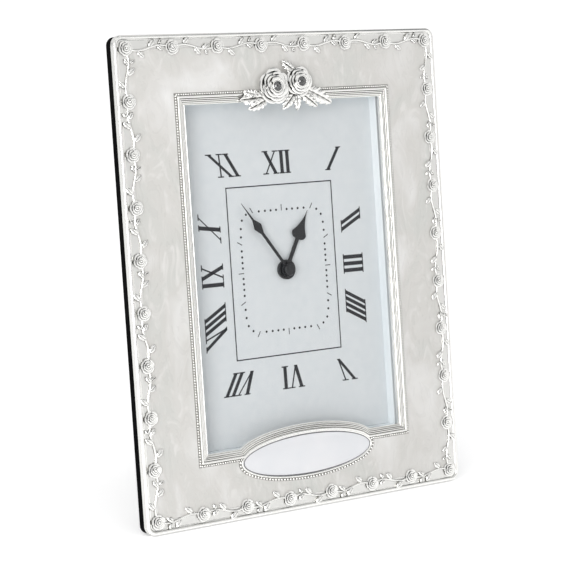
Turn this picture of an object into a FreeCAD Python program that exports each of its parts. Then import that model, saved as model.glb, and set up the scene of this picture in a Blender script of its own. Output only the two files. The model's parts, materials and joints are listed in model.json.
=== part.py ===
"""Photo frame clock: a silver and enamel standing frame with a quartz clock behind its glass.

The frame is drawn upright, X to the right, Y from its front plane towards the back and Z up,
with its centre at the origin. At the end every piece is leaned back and set on the ground.
Lengths are in millimetres.
"""

import FreeCAD, Part
import Sketcher
import math
import os

# Driving sizes, by the piece that carries them

SIZES = {
    # whole frame
    "frameWidth": 156.0,
    "frameHeight": 197.0,
    "cornerRadius": 4.0,
    "leanAngle": 8.0,
    "overrun": 1.0,
    "nearly": 0.01,
    # general fits
    "runClearance": 0.05,
    "seatClearance": 0.05,
    "looseClearance": 0.3,
    # front casting
    "castPlate": 1.6,
    "flangeDepth": 2.0,
    "flangeWall": 1.5,
    "rimInset": 1.0,
    "rimRadius": 0.8,
    "rimSink": 0.2,
    "seatRibWall": 1.2,
    # garland of roses on the border
    "vineInset": 5.2,
    "roseColumns": 8,
    "roseRows": 10,
    "roseRadius": 3.0,
    "roseRise": 1.5,
    "vineRadius": 0.55,
    "vineSwing": 1.1,
    "leafLength": 3.4,
    "leafWidth": 1.7,
    "leafRise": 0.7,
    "budRadius": 1.2,
    # enamel
    "enamelInset": 5.6,
    "enamelDepth": 0.8,
    # bezel round the glass and its arch over the oval
    "openingWidth": 95.0,
    "openingHeight": 140.0,
    "openingRise": 0.2,
    "bezelWidth": 3.8,
    "bezelSteps": 4,
    "bezelLip": 0.9,
    "bezelCrest": 0.9,
    "bezelSkirt": 2.5,
    "beadBand": 1.1,
    "beadRise": 0.5,
    # oval plaque
    "plaqueWidth": 63.3,
    "plaqueHeight": 16.7,
    "plaqueDrop": 76.0,
    "plaqueRise": 0.2,
    "plaqueSeat": 0.5,
    "plaqueRim": 1.0,
    "archBand": 4.35,
    # spray of roses over the bezel
    "sprayRise": 76.2,
    "bigRoseRadius": 7.4,
    "bigRoseAcross": -5.9,
    "smallRoseRadius": 6.2,
    "smallRoseAcross": 6.1,
    "smallRoseLift": 1.6,
    "sprayRoseDepth": 3.2,
    "sprayLeafLength": 13.0,
    "sprayLeafWidth": 6.0,
    "sprayLeafDepth": 1.4,
    "crystalRadius": 2.2,
    "crystalDepth": 0.7,
    # glass and the well behind it
    "glassThickness": 2.0,
    "glassOverlap": 4.5,
    "dialDepth": 8.4,
    "dialRise": 0.6,
    "dialThickness": 0.5,
    "wellMargin": 0.5,
    "wellWall": 1.5,
    "wellFloor": 1.5,
    "wellFlange": 6.5,
    "wellFlangeThickness": 1.4,
    # board, box and panel at the back
    "boardInset": 0.3,
    "boardThickness": 4.2,
    "boardCornerRadius": 3.5,
    "restBevel": 0.15,
    "boxInset": 14.5,
    "boxDepth": 22.2,
    "boxWall": 10.0,
    "boxCornerRadius": 3.0,
    "ledgeWidth": 2.0,
    "panelThickness": 2.5,
    "windowSize": 58.0,
    # turn buttons and their screws
    "buttonLength": 16.0,
    "buttonWidth": 6.0,
    "buttonThickness": 0.8,
    "buttonHeel": 3.0,
    "buttonRound": 2.7,
    "buttonEdge": 4.0,
    "buttonSpacing": 90.0,
    "screwRadius": 1.0,
    "screwHeadRadius": 2.2,
    "screwHeadDepth": 1.0,
    "screwReach": 5.0,
    # strut and its hinge
    "strutAngle": 22.0,
    "hingeRise": 48.0,
    "hingeOffset": 2.0,
    "knuckleRadius": 1.6,
    "pinRadius": 0.8,
    "pinOverhang": 0.3,
    "hingeWidth": 36.0,
    "movingKnuckle": 11.4,
    "leafThickness": 0.8,
    "hingeLeafHeight": 15.0,
    "stopHeight": 3.2,
    "stopThickness": 0.9,
    "stopGap": 0.15,
    "legThickness": 3.0,
    "legTopWidth": 40.0,
    "legFootWidth": 62.0,
    "legTopDrop": 2.6,
    "rivetRadius": 1.0,
    "rivetHeadRadius": 1.9,
    "rivetHeadDepth": 0.6,
    "rivetAcross": 12.0,
    "rivetNear": 5.0,
    "rivetFar": 11.5,
    # movement case
    "caseSize": 56.0,
    "caseDepth": 16.0,
    "caseWall": 1.2,
    "caseCornerRadius": 2.0,
    "bayHeight": 15.4,
    "partition": 1.0,
    "coverThickness": 1.2,
    "coverClearance": 0.1,
    "spigotRadius": 3.9,
    "lugWidth": 8.0,
    "lugHeight": 10.0,
    "lugThickness": 2.0,
    "bossHeight": 2.0,
    "bossRadius": 3.0,
    "lugScrewReach": 5.0,
    "postRadius": 0.5,
    "postTip": 0.3,
    # hands and their shafts
    "pipeRadius": 2.5,
    "arborRadius": 1.65,
    "rearArborRadius": 0.9,
    "rearArborTail": 0.4,
    "pivotDepth": 1.4,
    "handHeight": 1.2,
    "handThickness": 0.4,
    "handAir": 0.5,
    "handGap": 0.3,
    "hourHubRadius": 4.1,
    "hourLength": 26.8,
    "hourStem": 0.85,
    "hourBulb": 3.5,
    "hourAngle": 27.0,
    "minuteHubRadius": 3.0,
    "minuteLength": 35.7,
    "minuteStem": 0.6,
    "minuteBulb": 1.95,
    "minuteNeedle": 0.4,
    "minuteAngle": -36.0,
    "capRadius": 2.6,
    "capHeight": 1.2,
    "capRound": 0.72,
    # toothed wheels
    "trainLift": 0.4,
    "wheelThickness": 1.0,
    "levelStep": 1.8,
    "pinionOverhang": 0.2,
    "hubRadius": 1.2,
    "neckRadius": 0.84,
    "motionModule": 0.35,
    "cannonTeeth": 10,
    "motionTeeth": 30,
    "motionPinionTeeth": 8,
    "hourTeeth": 32,
    "settingTeeth": 12,
    "motionAngle": 135.0,
    "centreModule": 0.3,
    "centreTeeth": 64,
    "thirdPinionTeeth": 8,
    "thirdTeeth": 60,
    "thirdAngle": 60.0,
    "secondPinionTeeth": 8,
    "secondModule": 0.28,
    "secondTeeth": 60,
    "betweenPinionTeeth": 10,
    "betweenAngle": -10.0,
    "betweenModule": 0.22,
    "betweenTeeth": 60,
    "rotorPinionTeeth": 12,
    "rotorAngle": 20.0,
    # setting stem and knob
    "stemRadius": 1.5,
    "stemPivotDepth": 0.8,
    "knobRadius": 5.0,
    "knobThickness": 1.2,
    "knobGap": 0.4,
    "knobTeeth": 36,
    # drive
    "magnetRadius": 3.0,
    "magnetThickness": 2.0,
    "statorThickness": 0.8,
    "statorSetback": 1.4,
    "statorAir": 0.5,
    "statorRing": 2.0,
    "statorLegAcross": 6.7,
    "statorLegWidth": 2.6,
    "statorLegHeight": 20.5,
    "coilRise": 19.5,
    "coilCoreWidth": 2.0,
    "coilCoreThickness": 1.0,
    "coilTubeRadius": 1.8,
    "coilFlangeRadius": 2.5,
    "coilFlangeThickness": 0.6,
    "coilWindingRadius": 2.4,
    "coilLength": 9.6,
    # circuit board
    "circuitWidth": 11.5,
    "circuitHeight": 26.0,
    "circuitThickness": 1.0,
    "circuitAcross": -20.3,
    "circuitUp": 4.0,
    "circuitLift": 3.4,
    "circuitPostRadius": 1.2,
    "crystalCanRadius": 1.0,
    "crystalCanLength": 6.0,
    "chipRadius": 2.6,
    "chipHeight": 1.2,
    # cell and contacts
    "cellRadius": 7.15,
    "cellLength": 49.5,
    "nubRadius": 2.7,
    "nubLength": 1.0,
    "contactThickness": 0.4,
    "contactHeight": 10.0,
    "contactWidth": 9.0,
}

doc = FreeCAD.newDocument("photo_frame_clock")
sheet = doc.addObject("Spreadsheet::Sheet", "Sizes")
rows = 0


def record_size(name, value):
    """Write one length, angle or count into the sheet under its own name."""
    global rows
    rows = rows + 1
    sheet.set(f"A{rows}", name)
    sheet.set(f"B{rows}", repr(float(value)))
    sheet.setAlias(f"B{rows}", name)


for size_name, size_value in SIZES.items():
    record_size(size_name, size_value)
doc.recompute()


def mm(name):
    """The value of a named cell of the sheet."""
    return float(sheet.get(name))


def derive(name, value):
    """Keep a worked-out size in the sheet too, so that features can be bound to it."""
    record_size(name, value)
    return value


# Depths of the layers, worked out from front to back

glass_front = derive("glassFront", mm("castPlate"))
glass_back = derive("glassBack", glass_front + mm("glassThickness"))
dial_back = derive("dialBack", mm("dialDepth") + mm("dialThickness"))
case_front = derive("caseFront", dial_back + mm("wellFloor"))
case_back = derive("caseBack", case_front + mm("caseDepth"))
board_back = derive("boardBack", mm("flangeDepth") + mm("boardThickness"))
box_back = derive("boxBack", board_back + mm("boxDepth"))
panel_front = derive("panelFront", box_back - mm("panelThickness"))
hinge_depth = derive("hingeDepth", box_back + mm("hingeOffset"))
train_front = derive("trainFront", case_front + mm("caseWall"))
train_back = derive("trainBack", case_back - mm("coverThickness"))
lug_front = derive("lugFront", case_front + mm("bossHeight"))
lug_back = derive("lugBack", lug_front + mm("lugThickness"))

# Sizes across that follow from the driving ones

well_width = derive("wellWidth", mm("openingWidth") + 2 * mm("wellMargin"))
well_height = derive("wellHeight", mm("openingHeight") + 2 * mm("wellMargin"))
well_outer_width = derive("wellOuterWidth", well_width + 2 * mm("wellWall"))
well_outer_height = derive("wellOuterHeight", well_height + 2 * mm("wellWall"))
flange_width = derive("flangeWidth", well_outer_width + 2 * mm("wellFlange"))
flange_height = derive("flangeHeight", well_outer_height + 2 * mm("wellFlange"))
glass_width = derive("glassWidth", mm("openingWidth") + 2 * mm("glassOverlap"))
glass_height = derive("glassHeight", mm("openingHeight") + 2 * mm("glassOverlap"))
board_width = derive("boardWidth", mm("frameWidth") - 2 * mm("boardInset"))
board_height = derive("boardHeight", mm("frameHeight") - 2 * mm("boardInset"))
box_width = derive("boxWidth", mm("frameWidth") - 2 * mm("boxInset"))
box_height = derive("boxHeight", mm("frameHeight") - 2 * mm("boxInset"))
box_bore_width = derive("boxBoreWidth", box_width - 2 * mm("boxWall"))
box_bore_height = derive("boxBoreHeight", box_height - 2 * mm("boxWall"))
rabbet_width = derive("rabbetWidth", box_bore_width + 2 * mm("ledgeWidth"))
rabbet_height = derive("rabbetHeight", box_bore_height + 2 * mm("ledgeWidth"))
panel_width = derive("panelWidth", rabbet_width - 2 * mm("looseClearance"))
panel_height = derive("panelHeight", rabbet_height - 2 * mm("looseClearance"))
case_bore = derive("caseBore", mm("caseSize") - 2 * mm("caseWall"))
bay_up = derive("bayUp", mm("dialRise") - case_bore / 2 + mm("bayHeight") / 2)
train_height = derive("trainHeight", case_bore - mm("bayHeight") - mm("partition"))
train_up = derive("trainUp", mm("dialRise") + case_bore / 2 - train_height / 2)
lug_across = derive("lugAcross", (mm("caseSize") + mm("lugWidth")) / 2)
shank_hole = derive("shankHole", mm("screwRadius") + mm("runClearance"))
rivet_hole = derive("rivetHole", mm("rivetRadius") + mm("seatClearance"))

# Level bevel under the board, turn buttons and the strut, with the ground they all meet

lean = math.radians(mm("leanAngle"))
bevel_run = derive("bevelRun", mm("restBevel") / math.sin(lean))
bevel_rise = derive("bevelRise", mm("restBevel") / math.cos(lean))
button_across = derive("buttonAcross", box_width / 2 - mm("buttonEdge"))
button_up = derive("buttonUp", mm("buttonSpacing") / 2)
button_front = derive("buttonFront", box_back + mm("looseClearance"))
head_front = derive("headFront", button_front + mm("buttonThickness") + mm("looseClearance"))
opening = math.radians(mm("strutAngle"))
leaf_back = derive("leafBack", hinge_depth - mm("knuckleRadius") + mm("leafThickness"))
stop_front = mm("leafThickness") + mm("stopGap") - mm("hingeOffset")
stop_back = stop_front + mm("stopThickness")
stop_corners = []
for corner, (depth, height) in enumerate((
    (stop_front, 0), (stop_back, 0), (stop_back, mm("stopHeight")), (stop_front, mm("stopHeight"))
)):
    derive(f"stopDepth{corner}x", depth * math.cos(opening) + height * math.sin(opening))
    derive(f"stopHeight{corner}x", height * math.cos(opening) - depth * math.sin(opening))
    stop_corners.append((
        f"Sizes.hingeDepth + Sizes.stopDepth{corner}x", f"Sizes.hingeRise + Sizes.stopHeight{corner}x"
    ))
ground_drop = (board_height / 2) * math.cos(lean) + board_back * math.sin(lean) - mm("restBevel")
hinge_height = mm("hingeRise") * math.cos(lean) - hinge_depth * math.sin(lean) + ground_drop
splay = opening - lean
front_reach = leaf_back - hinge_depth
back_reach = front_reach + mm("legThickness")
foot_front = derive("footFront", (hinge_height + front_reach * math.sin(splay)) / math.cos(splay))
foot_back = derive("footBack", (hinge_height + back_reach * math.sin(splay)) / math.cos(splay))
leg_low = derive("legLow", max(foot_front, foot_back))

# Levels of the hands and of the wheels, and the places of the wheels

hour_hub_back = derive("hourHubBack", mm("dialDepth") - mm("handAir"))
hour_hub_front = derive("hourHubFront", hour_hub_back - mm("handHeight"))
minute_hub_back = derive("minuteHubBack", hour_hub_front - mm("handGap"))
minute_hub_front = derive("minuteHubFront", minute_hub_back - mm("handHeight"))
HOUR, MOTION, CENTRE, THIRD, SECOND, BETWEEN = range(6)
over = mm("pinionOverhang")
post_tip = mm("postTip")
wheel_thickness = mm("wheelThickness")


def pitch_radius(module, teeth):
    """Radius of the pitch circle."""
    return module * teeth / 2


def level(step):
    """Front depth of one of the layers of wheels."""
    return train_front + mm("trainLift") + step * mm("levelStep")


def beyond(spot, distance, angle):
    """A place at a distance and an angle from another."""
    turn = math.radians(angle)
    return (spot[0] + distance * math.cos(turn), spot[1] + distance * math.sin(turn))


axis_spot = (0.0, mm("dialRise"))
motion_module = mm("motionModule")
cannon_teeth = int(mm("cannonTeeth"))
motion_teeth = int(mm("motionTeeth"))
motion_pinion_teeth = int(mm("motionPinionTeeth"))
hour_teeth = int(mm("hourTeeth"))
setting_teeth = int(mm("settingTeeth"))
motion_way = mm("motionAngle")
motion_reach = pitch_radius(motion_module, cannon_teeth + motion_teeth)
motion_spot = beyond(axis_spot, motion_reach, motion_way)
setting_reach = pitch_radius(motion_module, motion_teeth + setting_teeth)
setting_spot = beyond(motion_spot, setting_reach, motion_way)

centre_module = mm("centreModule")
centre_teeth = int(mm("centreTeeth"))
third_pinion_teeth = int(mm("thirdPinionTeeth"))
third_teeth = int(mm("thirdTeeth"))
second_pinion_teeth = int(mm("secondPinionTeeth"))
third_way = mm("thirdAngle")
third_reach = pitch_radius(centre_module, centre_teeth + third_pinion_teeth)
third_spot = beyond(axis_spot, third_reach, third_way)
third_module = 2 * third_reach / (third_teeth + second_pinion_teeth)
second_module = mm("secondModule")
second_teeth = int(mm("secondTeeth"))
between_pinion_teeth = int(mm("betweenPinionTeeth"))
between_way = mm("betweenAngle")
between_reach = pitch_radius(second_module, second_teeth + between_pinion_teeth)
between_spot = beyond(axis_spot, between_reach, between_way)
between_module = mm("betweenModule")
between_teeth = int(mm("betweenTeeth"))
rotor_pinion_teeth = int(mm("rotorPinionTeeth"))
rotor_way = mm("rotorAngle")
rotor_reach = pitch_radius(between_module, between_teeth + rotor_pinion_teeth)
rotor_spot = beyond(between_spot, rotor_reach, rotor_way)

arbor_shoulder = level(MOTION) - over
arbor_end = level(CENTRE) + wheel_thickness + mm("rearArborTail")
derive("motionPostX", motion_spot[0])
derive("motionPostZ", motion_spot[1])
derive("motionPostEnd", level(MOTION) + wheel_thickness + post_tip)
derive("thirdPostX", third_spot[0])
derive("thirdPostZ", third_spot[1])
derive("thirdPostEnd", level(THIRD) + wheel_thickness + post_tip)
derive("settingX", setting_spot[0])
derive("settingZ", setting_spot[1])
derive("betweenX", between_spot[0])
derive("betweenZ", between_spot[1])
derive("betweenPostFront", level(SECOND) - over - post_tip)
derive("rotorX", rotor_spot[0])
derive("rotorZ", rotor_spot[1])
derive("rotorPostFront", level(BETWEEN) - over - post_tip)
derive("centrePostFront", arbor_end - mm("pivotDepth") + mm("runClearance"))
stator_front = derive("statorFront", train_back - mm("statorSetback") - mm("statorThickness"))
derive("statorBack", train_back - mm("statorSetback"))
coil_depth = derive("coilDepth", stator_front - mm("coilCoreThickness") / 2)
circuit_back = derive("circuitBack", train_front + mm("circuitLift") + mm("circuitThickness"))

# Cell and its contacts

cell_depth = derive("cellDepth", train_front + mm("seatClearance") + mm("cellRadius"))
bay_end = case_bore / 2
nub_end = bay_end - mm("contactThickness") - mm("seatClearance")
cell_start = nub_end - mm("nubLength") - mm("cellLength")
derive("contactDepth", cell_depth - mm("contactWidth") / 2)
spring_reach = derive("springReach", cell_start + bay_end - mm("seatClearance"))

# Sketch helpers: every size is an expression on the sheet, and depth is the place along Y

finished = []
leg_pieces = []


def new_body(label):
    """An empty body that becomes one piece."""
    piece = doc.addObject("PartDesign::Body", label)
    piece.Label = label
    finished.append(piece)
    return piece


def new_sketch(piece, name, offset, role="XZ_Plane"):
    """A sketch on one of the body's own planes, moved along the normal by an expression."""
    plane = [item for item in piece.Origin.OriginFeatures if item.Role == role][0]
    sketch = piece.newObject("Sketcher::SketchObject", f"{piece.Label}_{name}")
    sketch.AttachmentSupport = [(plane, "")]
    sketch.MapMode = "FlatFace"
    direction = "-" if role == "XZ_Plane" else ""
    sketch.setExpression("AttachmentOffset.Base.z", f"{direction}({offset})")
    return sketch


def bind(sketch, constraint, expression):
    """Add a constraint whose value follows an expression."""
    index = sketch.addConstraint(constraint)
    sketch.setExpression(f"Constraints[{index}]", expression)


def pin_point(sketch, geometry, vertex, across, up):
    """Hold one point of the sketch at two expressions."""
    bind(sketch, Sketcher.Constraint("DistanceX", -1, 1, geometry, vertex, 1.0), across)
    bind(sketch, Sketcher.Constraint("DistanceY", -1, 1, geometry, vertex, 1.0), up)


def draw_outline(sketch, corners):
    """A closed outline of straight sides, each corner given as two expressions."""
    count = len(corners)
    turn = 2 * math.pi / count
    spots = [FreeCAD.Vector(math.cos(turn * k), math.sin(turn * k), 0) for k in range(count)]
    first = sketch.GeometryCount
    for k in range(count):
        sketch.addGeometry(Part.LineSegment(spots[k], spots[(k + 1) % count]), False)
    for k in range(count):
        sketch.addConstraint(Sketcher.Constraint("Coincident", first + k, 2, first + (k + 1) % count, 1))
    for k, (across, up) in enumerate(corners):
        pin_point(sketch, first + k, 1, across, up)


def draw_rectangle(sketch, width, height, across="0", up="0"):
    """A rectangle about a centre."""
    left = f"({across}) - ({width}) / 2"
    right = f"({across}) + ({width}) / 2"
    low = f"({up}) - ({height}) / 2"
    high = f"({up}) + ({height}) / 2"
    draw_outline(sketch, [(left, low), (right, low), (right, high), (left, high)])


def draw_circle(sketch, radius, across="0", up="0"):
    """A circle about a centre."""
    circle = Part.Circle(FreeCAD.Vector(1, 1, 0), FreeCAD.Vector(0, 0, 1), 1.0)
    geometry = sketch.addGeometry(circle, False)
    bind(sketch, Sketcher.Constraint("Radius", geometry, 1.0), radius)
    pin_point(sketch, geometry, 3, across, up)


def pad(piece, sketch, length, both_ways=False):
    """Raise a sketch towards the back, or to both sides of its plane."""
    feature = piece.newObject("PartDesign::Pad", f"{sketch.Name}_pad")
    feature.Profile = sketch
    feature.setExpression("Length", length)
    feature.Midplane = both_ways
    feature.Reversed = not both_ways
    doc.recompute()
    return feature


def pocket(piece, sketch, length, both_ways=False):
    """Cut a sketch towards the back, or to both sides of its plane, and see that it cuts."""
    before = piece.Shape.Volume
    feature = piece.newObject("PartDesign::Pocket", f"{sketch.Name}_pocket")
    feature.Profile = sketch
    feature.setExpression("Length", length)
    feature.Midplane = both_ways
    doc.recompute()
    if not piece.Shape.Volume < before:
        raise ValueError(f"{feature.Name} cuts nothing")
    return feature


def add_plate(piece, name, depth, thickness, width, height, across="0", up="0"):
    """Add a rectangular plate that starts at a depth."""
    sketch = new_sketch(piece, name, depth)
    draw_rectangle(sketch, width, height, across, up)
    return pad(piece, sketch, thickness)


def cut_plate(piece, name, depth, thickness, width, height, across="0", up="0"):
    """Cut a rectangular opening that starts at a depth."""
    sketch = new_sketch(piece, name, depth)
    draw_rectangle(sketch, width, height, across, up)
    return pocket(piece, sketch, thickness)


def add_disc(piece, name, depth, thickness, radius, across="0", up="0"):
    """Add a round boss, post or disc that starts at a depth."""
    sketch = new_sketch(piece, name, depth)
    draw_circle(sketch, radius, across, up)
    return pad(piece, sketch, thickness)


def cut_disc(piece, name, depth, thickness, radius, across="0", up="0"):
    """Cut a round hole that starts at a depth."""
    sketch = new_sketch(piece, name, depth)
    draw_circle(sketch, radius, across, up)
    return pocket(piece, sketch, thickness)


def round_corners(piece, radius):
    """Round the edges that run front to back."""
    base = piece.Tip
    names = []
    for index, edge in enumerate(base.Shape.Edges):
        start = edge.Vertexes[0].Point
        end = edge.Vertexes[-1].Point
        run = end.sub(start)
        if run.Length > 0 and run.Length - abs(run.y) < mm("nearly"):
            names.append(f"Edge{index + 1}")
    fillet = piece.newObject("PartDesign::Fillet", f"{base.Name}_round")
    fillet.Base = (base, names)
    fillet.setExpression("Radius", radius)
    doc.recompute()
    return fillet


def show(label, shape):
    """Keep a piece whose shape is worked out by its own function."""
    piece = doc.addObject("Part::Feature", label)
    piece.Label = label
    piece.Shape = shape
    finished.append(piece)
    return piece


# Outlines that the front pieces share

BACK = FreeCAD.Vector(0, 1, 0)


def rectangle_face(width, height, up):
    """An upright rectangle in the plane of the front."""
    low = up - height / 2
    high = up + height / 2
    corners = [(-width / 2, low), (width / 2, low), (width / 2, high), (-width / 2, high)]
    points = [FreeCAD.Vector(x, 0, z) for x, z in corners]
    return Part.Face(Part.makePolygon(points + points[:1]))


def oval_face(grow):
    """The plaque's oval, made larger all round."""
    wide = mm("plaqueWidth") / 2 + grow
    tall = mm("plaqueHeight") / 2 + grow
    centre = FreeCAD.Vector(0, 0, -mm("plaqueDrop"))
    right = centre + FreeCAD.Vector(wide, 0, 0)
    top = centre + FreeCAD.Vector(0, 0, tall)
    return Part.Face(Part.Wire(Part.Ellipse(right, top, centre).toShape()))


def window_face(step):
    """The opening of the bezel, a step further out: a rectangle with the arch bitten out of it."""
    width = mm("openingWidth") + 2 * step
    height = mm("openingHeight") + 2 * step
    return rectangle_face(width, height, mm("openingRise")).cut(oval_face(mm("archBand") - step))


def surround_face(step, rim):
    """The bezel's outer boundary: its rectangle joined to the oval's rim."""
    width = mm("openingWidth") + 2 * step
    height = mm("openingHeight") + 2 * step
    joined = rectangle_face(width, height, mm("openingRise")).fuse(oval_face(rim))
    return joined.removeSplitter()


def thicken(face, front, back):
    """A slab of a face between two depths."""
    slab = face.extrude(BACK * (back - front))
    slab.translate(BACK * front)
    return slab


# Front casting

def make_frame_shell():
    """Flat front with a rolled rim, a side flange and a rib that seats the glass."""
    width = mm("frameWidth")
    height = mm("frameHeight")
    plate = mm("castPlate")
    depth = mm("flangeDepth")
    slab = thicken(rectangle_face(width, height, 0), 0, depth)
    upright = [edge for edge in slab.Edges if abs(edge.Vertexes[0].Y - edge.Vertexes[-1].Y) > plate]
    slab = slab.makeFillet(mm("cornerRadius"), upright)
    inset = mm("rimInset")
    path_block = Part.makeBox(width - 2 * inset, depth, height - 2 * inset)
    path_block.translate(FreeCAD.Vector(inset - width / 2, mm("rimSink"), inset - height / 2))
    upright = [edge for edge in path_block.Edges if abs(edge.Vertexes[0].Y - edge.Vertexes[-1].Y) > plate]
    path_block = path_block.makeFillet(mm("cornerRadius") - inset, upright)
    front_face = min(path_block.Faces, key=lambda face: face.CenterOfMass.y)
    path = front_face.OuterWire
    start = FreeCAD.Vector(0, mm("rimSink"), height / 2 - inset)
    bead = Part.Wire(Part.makeCircle(mm("rimRadius"), start, FreeCAD.Vector(1, 0, 0)))
    top_edge = max(path.Edges, key=lambda edge: edge.CenterOfMass.z)
    others = [edge for edge in path.Edges if not edge.isSame(top_edge)]
    top_left = top_edge.Vertexes[0].Point
    top_right = top_edge.Vertexes[-1].Point
    top_halves = [Part.makeLine(start, top_left), Part.makeLine(top_right, start)]
    rim_path = Part.Wire(Part.__sortEdges__(top_halves + others))
    rim = rim_path.makePipeShell([bead], True, False)
    shell = slab.fuse(rim)
    wall = mm("flangeWall")
    hollow = Part.makeBox(width - 2 * wall, depth, height - 2 * wall)
    hollow.translate(FreeCAD.Vector(wall - width / 2, plate, wall - height / 2))
    shell = shell.cut(hollow)
    skirt = mm("bezelSkirt") + mm("seatClearance")
    shell = shell.cut(thicken(window_face(skirt), -mm("overrun"), depth))
    shell = shell.cut(thicken(enamel_face(0), -mm("overrun"), mm("enamelDepth")))
    shell = shell.cut(thicken(oval_face(0), -mm("overrun"), mm("plaqueSeat")))
    inner_width = glass_width + 2 * mm("looseClearance")
    inner_height = glass_height + 2 * mm("looseClearance")
    rib_wall = mm("seatRibWall")
    rib = rectangle_face(inner_width + 2 * rib_wall, inner_height + 2 * rib_wall, mm("openingRise"))
    rib = rib.cut(rectangle_face(inner_width, inner_height, mm("openingRise")))
    return shell.fuse(thicken(rib, plate, depth)).removeSplitter()


def enamel_face(gap):
    """The band between the garland and the beading, smaller by a gap all round."""
    inset = mm("enamelInset") + gap
    outer = rectangle_face(mm("frameWidth") - 2 * inset, mm("frameHeight") - 2 * inset, 0)
    band = mm("beadBand") + gap
    return outer.cut(surround_face(mm("bezelWidth") + band, mm("plaqueRim") + band))


show("frame_shell", make_frame_shell())
show("enamel_inlay", thicken(enamel_face(mm("seatClearance")), 0, mm("enamelDepth")))


# Inner bezel: steps that fall from its crest to the glass, and the arch over the oval

def make_bezel():
    """Stepped moulding with a skirt that reaches the glass."""
    width = mm("bezelWidth")
    steps = int(mm("bezelSteps"))
    fall = mm("bezelLip") + mm("bezelCrest")
    body = surround_face(width, mm("plaqueRim")).cut(oval_face(0))
    layers = []
    for k in range(steps):
        top = mm("bezelLip") - fall * k / (steps - 1)
        layers.append(thicken(body.cut(window_face(width * k / steps)), top, glass_front))
    moulding = layers[0].multiFuse(layers[1:])
    under = surround_face(width + mm("overrun"), mm("plaqueRim") + mm("overrun"))
    under = under.cut(window_face(mm("bezelSkirt")))
    return moulding.cut(thicken(under, 0, glass_front + mm("overrun"))).removeSplitter()


def make_bead_band():
    """The strip of beaded wire that follows the bezel and the oval's lower edge."""
    width = mm("bezelWidth")
    rim = mm("plaqueRim")
    band = mm("beadBand")
    gap = mm("seatClearance")
    outer = surround_face(width + band, rim + band)
    return thicken(outer.cut(surround_face(width + gap, rim + gap)), -mm("beadRise"), 0)


show("bezel_moulding", make_bezel())
show("bead_row", make_bead_band())
show("oval_plaque", thicken(oval_face(-mm("seatClearance")), -mm("plaqueRise"), mm("plaqueSeat")))


# Roses, leaves and vine

def make_rose(radius, rise):
    """A full-blown rose: two rings of petals round a heart, standing on the XZ plane."""
    ring_shares = ((0.52, 0.48, 0.38, 0.45, 0.0), (0.30, 0.34, 0.25, 0.75, 0.5))
    petals = 5
    heart_foot_share = 0.28
    heart_top_share = 0.17
    forward = FreeCAD.Vector(0, -1, 0)
    heart = Part.makeCone(
        radius * heart_foot_share, radius * heart_top_share, rise, FreeCAD.Vector(), forward
    )
    blades = []
    for reach, foot, top, height, turn in ring_shares:
        for k in range(petals):
            angle = 2 * math.pi * (k + turn) / petals
            spot = FreeCAD.Vector(math.cos(angle), 0, math.sin(angle)) * (radius * reach)
            blades.append(Part.makeCone(radius * foot, radius * top, rise * height, spot, forward))
    return heart.multiFuse(blades).removeSplitter()


def make_leaf(length, width, rise):
    """A pointed leaf that starts at the origin and lies along +X, its top sloped to the tip."""
    foot = FreeCAD.Vector()
    tip = FreeCAD.Vector(length, 0, 0)
    belly_share = 0.45
    middle = FreeCAD.Vector(length * belly_share, 0, width / 2)
    across = FreeCAD.Vector(length * belly_share, 0, -width / 2)
    upper = Part.Arc(foot, middle, tip).toShape()
    lower = Part.Arc(tip, across, foot).toShape()
    return Part.Face(Part.Wire([upper, lower])).extrude(FreeCAD.Vector(0, -rise, 0))


def turned(shape, angle, x, y, z):
    """A copy turned anticlockwise, as seen from the front, and set at a place."""
    copy = shape.copy()
    copy.Placement = FreeCAD.Placement(
        FreeCAD.Vector(x, y, z), FreeCAD.Rotation(FreeCAD.Vector(0, -1, 0), angle)
    )
    return copy


def make_vine(length):
    """One wave of the vine along +X, with two leaves and a bud."""
    swing = mm("vineSwing")
    start = FreeCAD.Vector(0, 0, 0)
    middle = FreeCAD.Vector(length / 2, 0, 0)
    end = FreeCAD.Vector(length, 0, 0)
    first = Part.Arc(start, FreeCAD.Vector(length / 4, 0, swing), middle).toShape()
    second = Part.Arc(middle, FreeCAD.Vector(length * 3 / 4, 0, -swing), end).toShape()
    direction = first.tangentAt(first.FirstParameter)
    profile = Part.Wire(Part.makeCircle(mm("vineRadius"), start, direction))
    tube = Part.Wire([first, second]).makePipeShell([profile], True, False)
    behind = Part.makeBox(2 * length, length, length)
    behind.translate(FreeCAD.Vector(-length / 2, 0, -length / 2))
    leaf = make_leaf(mm("leafLength"), mm("leafWidth"), mm("leafRise"))
    leaf_shares = ((0.22, 0.9, 35.0), (0.66, -0.6, -40.0))
    growth = []
    for along, swing_share, angle in leaf_shares:
        growth.append(turned(leaf, angle, length * along, 0, swing * swing_share))
    bud_share = 0.46
    bud_spot = FreeCAD.Vector(length * bud_share, 0, -mm("budRadius") * bud_share)
    forward = FreeCAD.Vector(0, -1, 0)
    growth.append(Part.makeCone(mm("budRadius"), mm("budRadius") / 2, mm("leafRise"), bud_spot, forward))
    return tube.cut(behind).multiFuse(growth)


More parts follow.
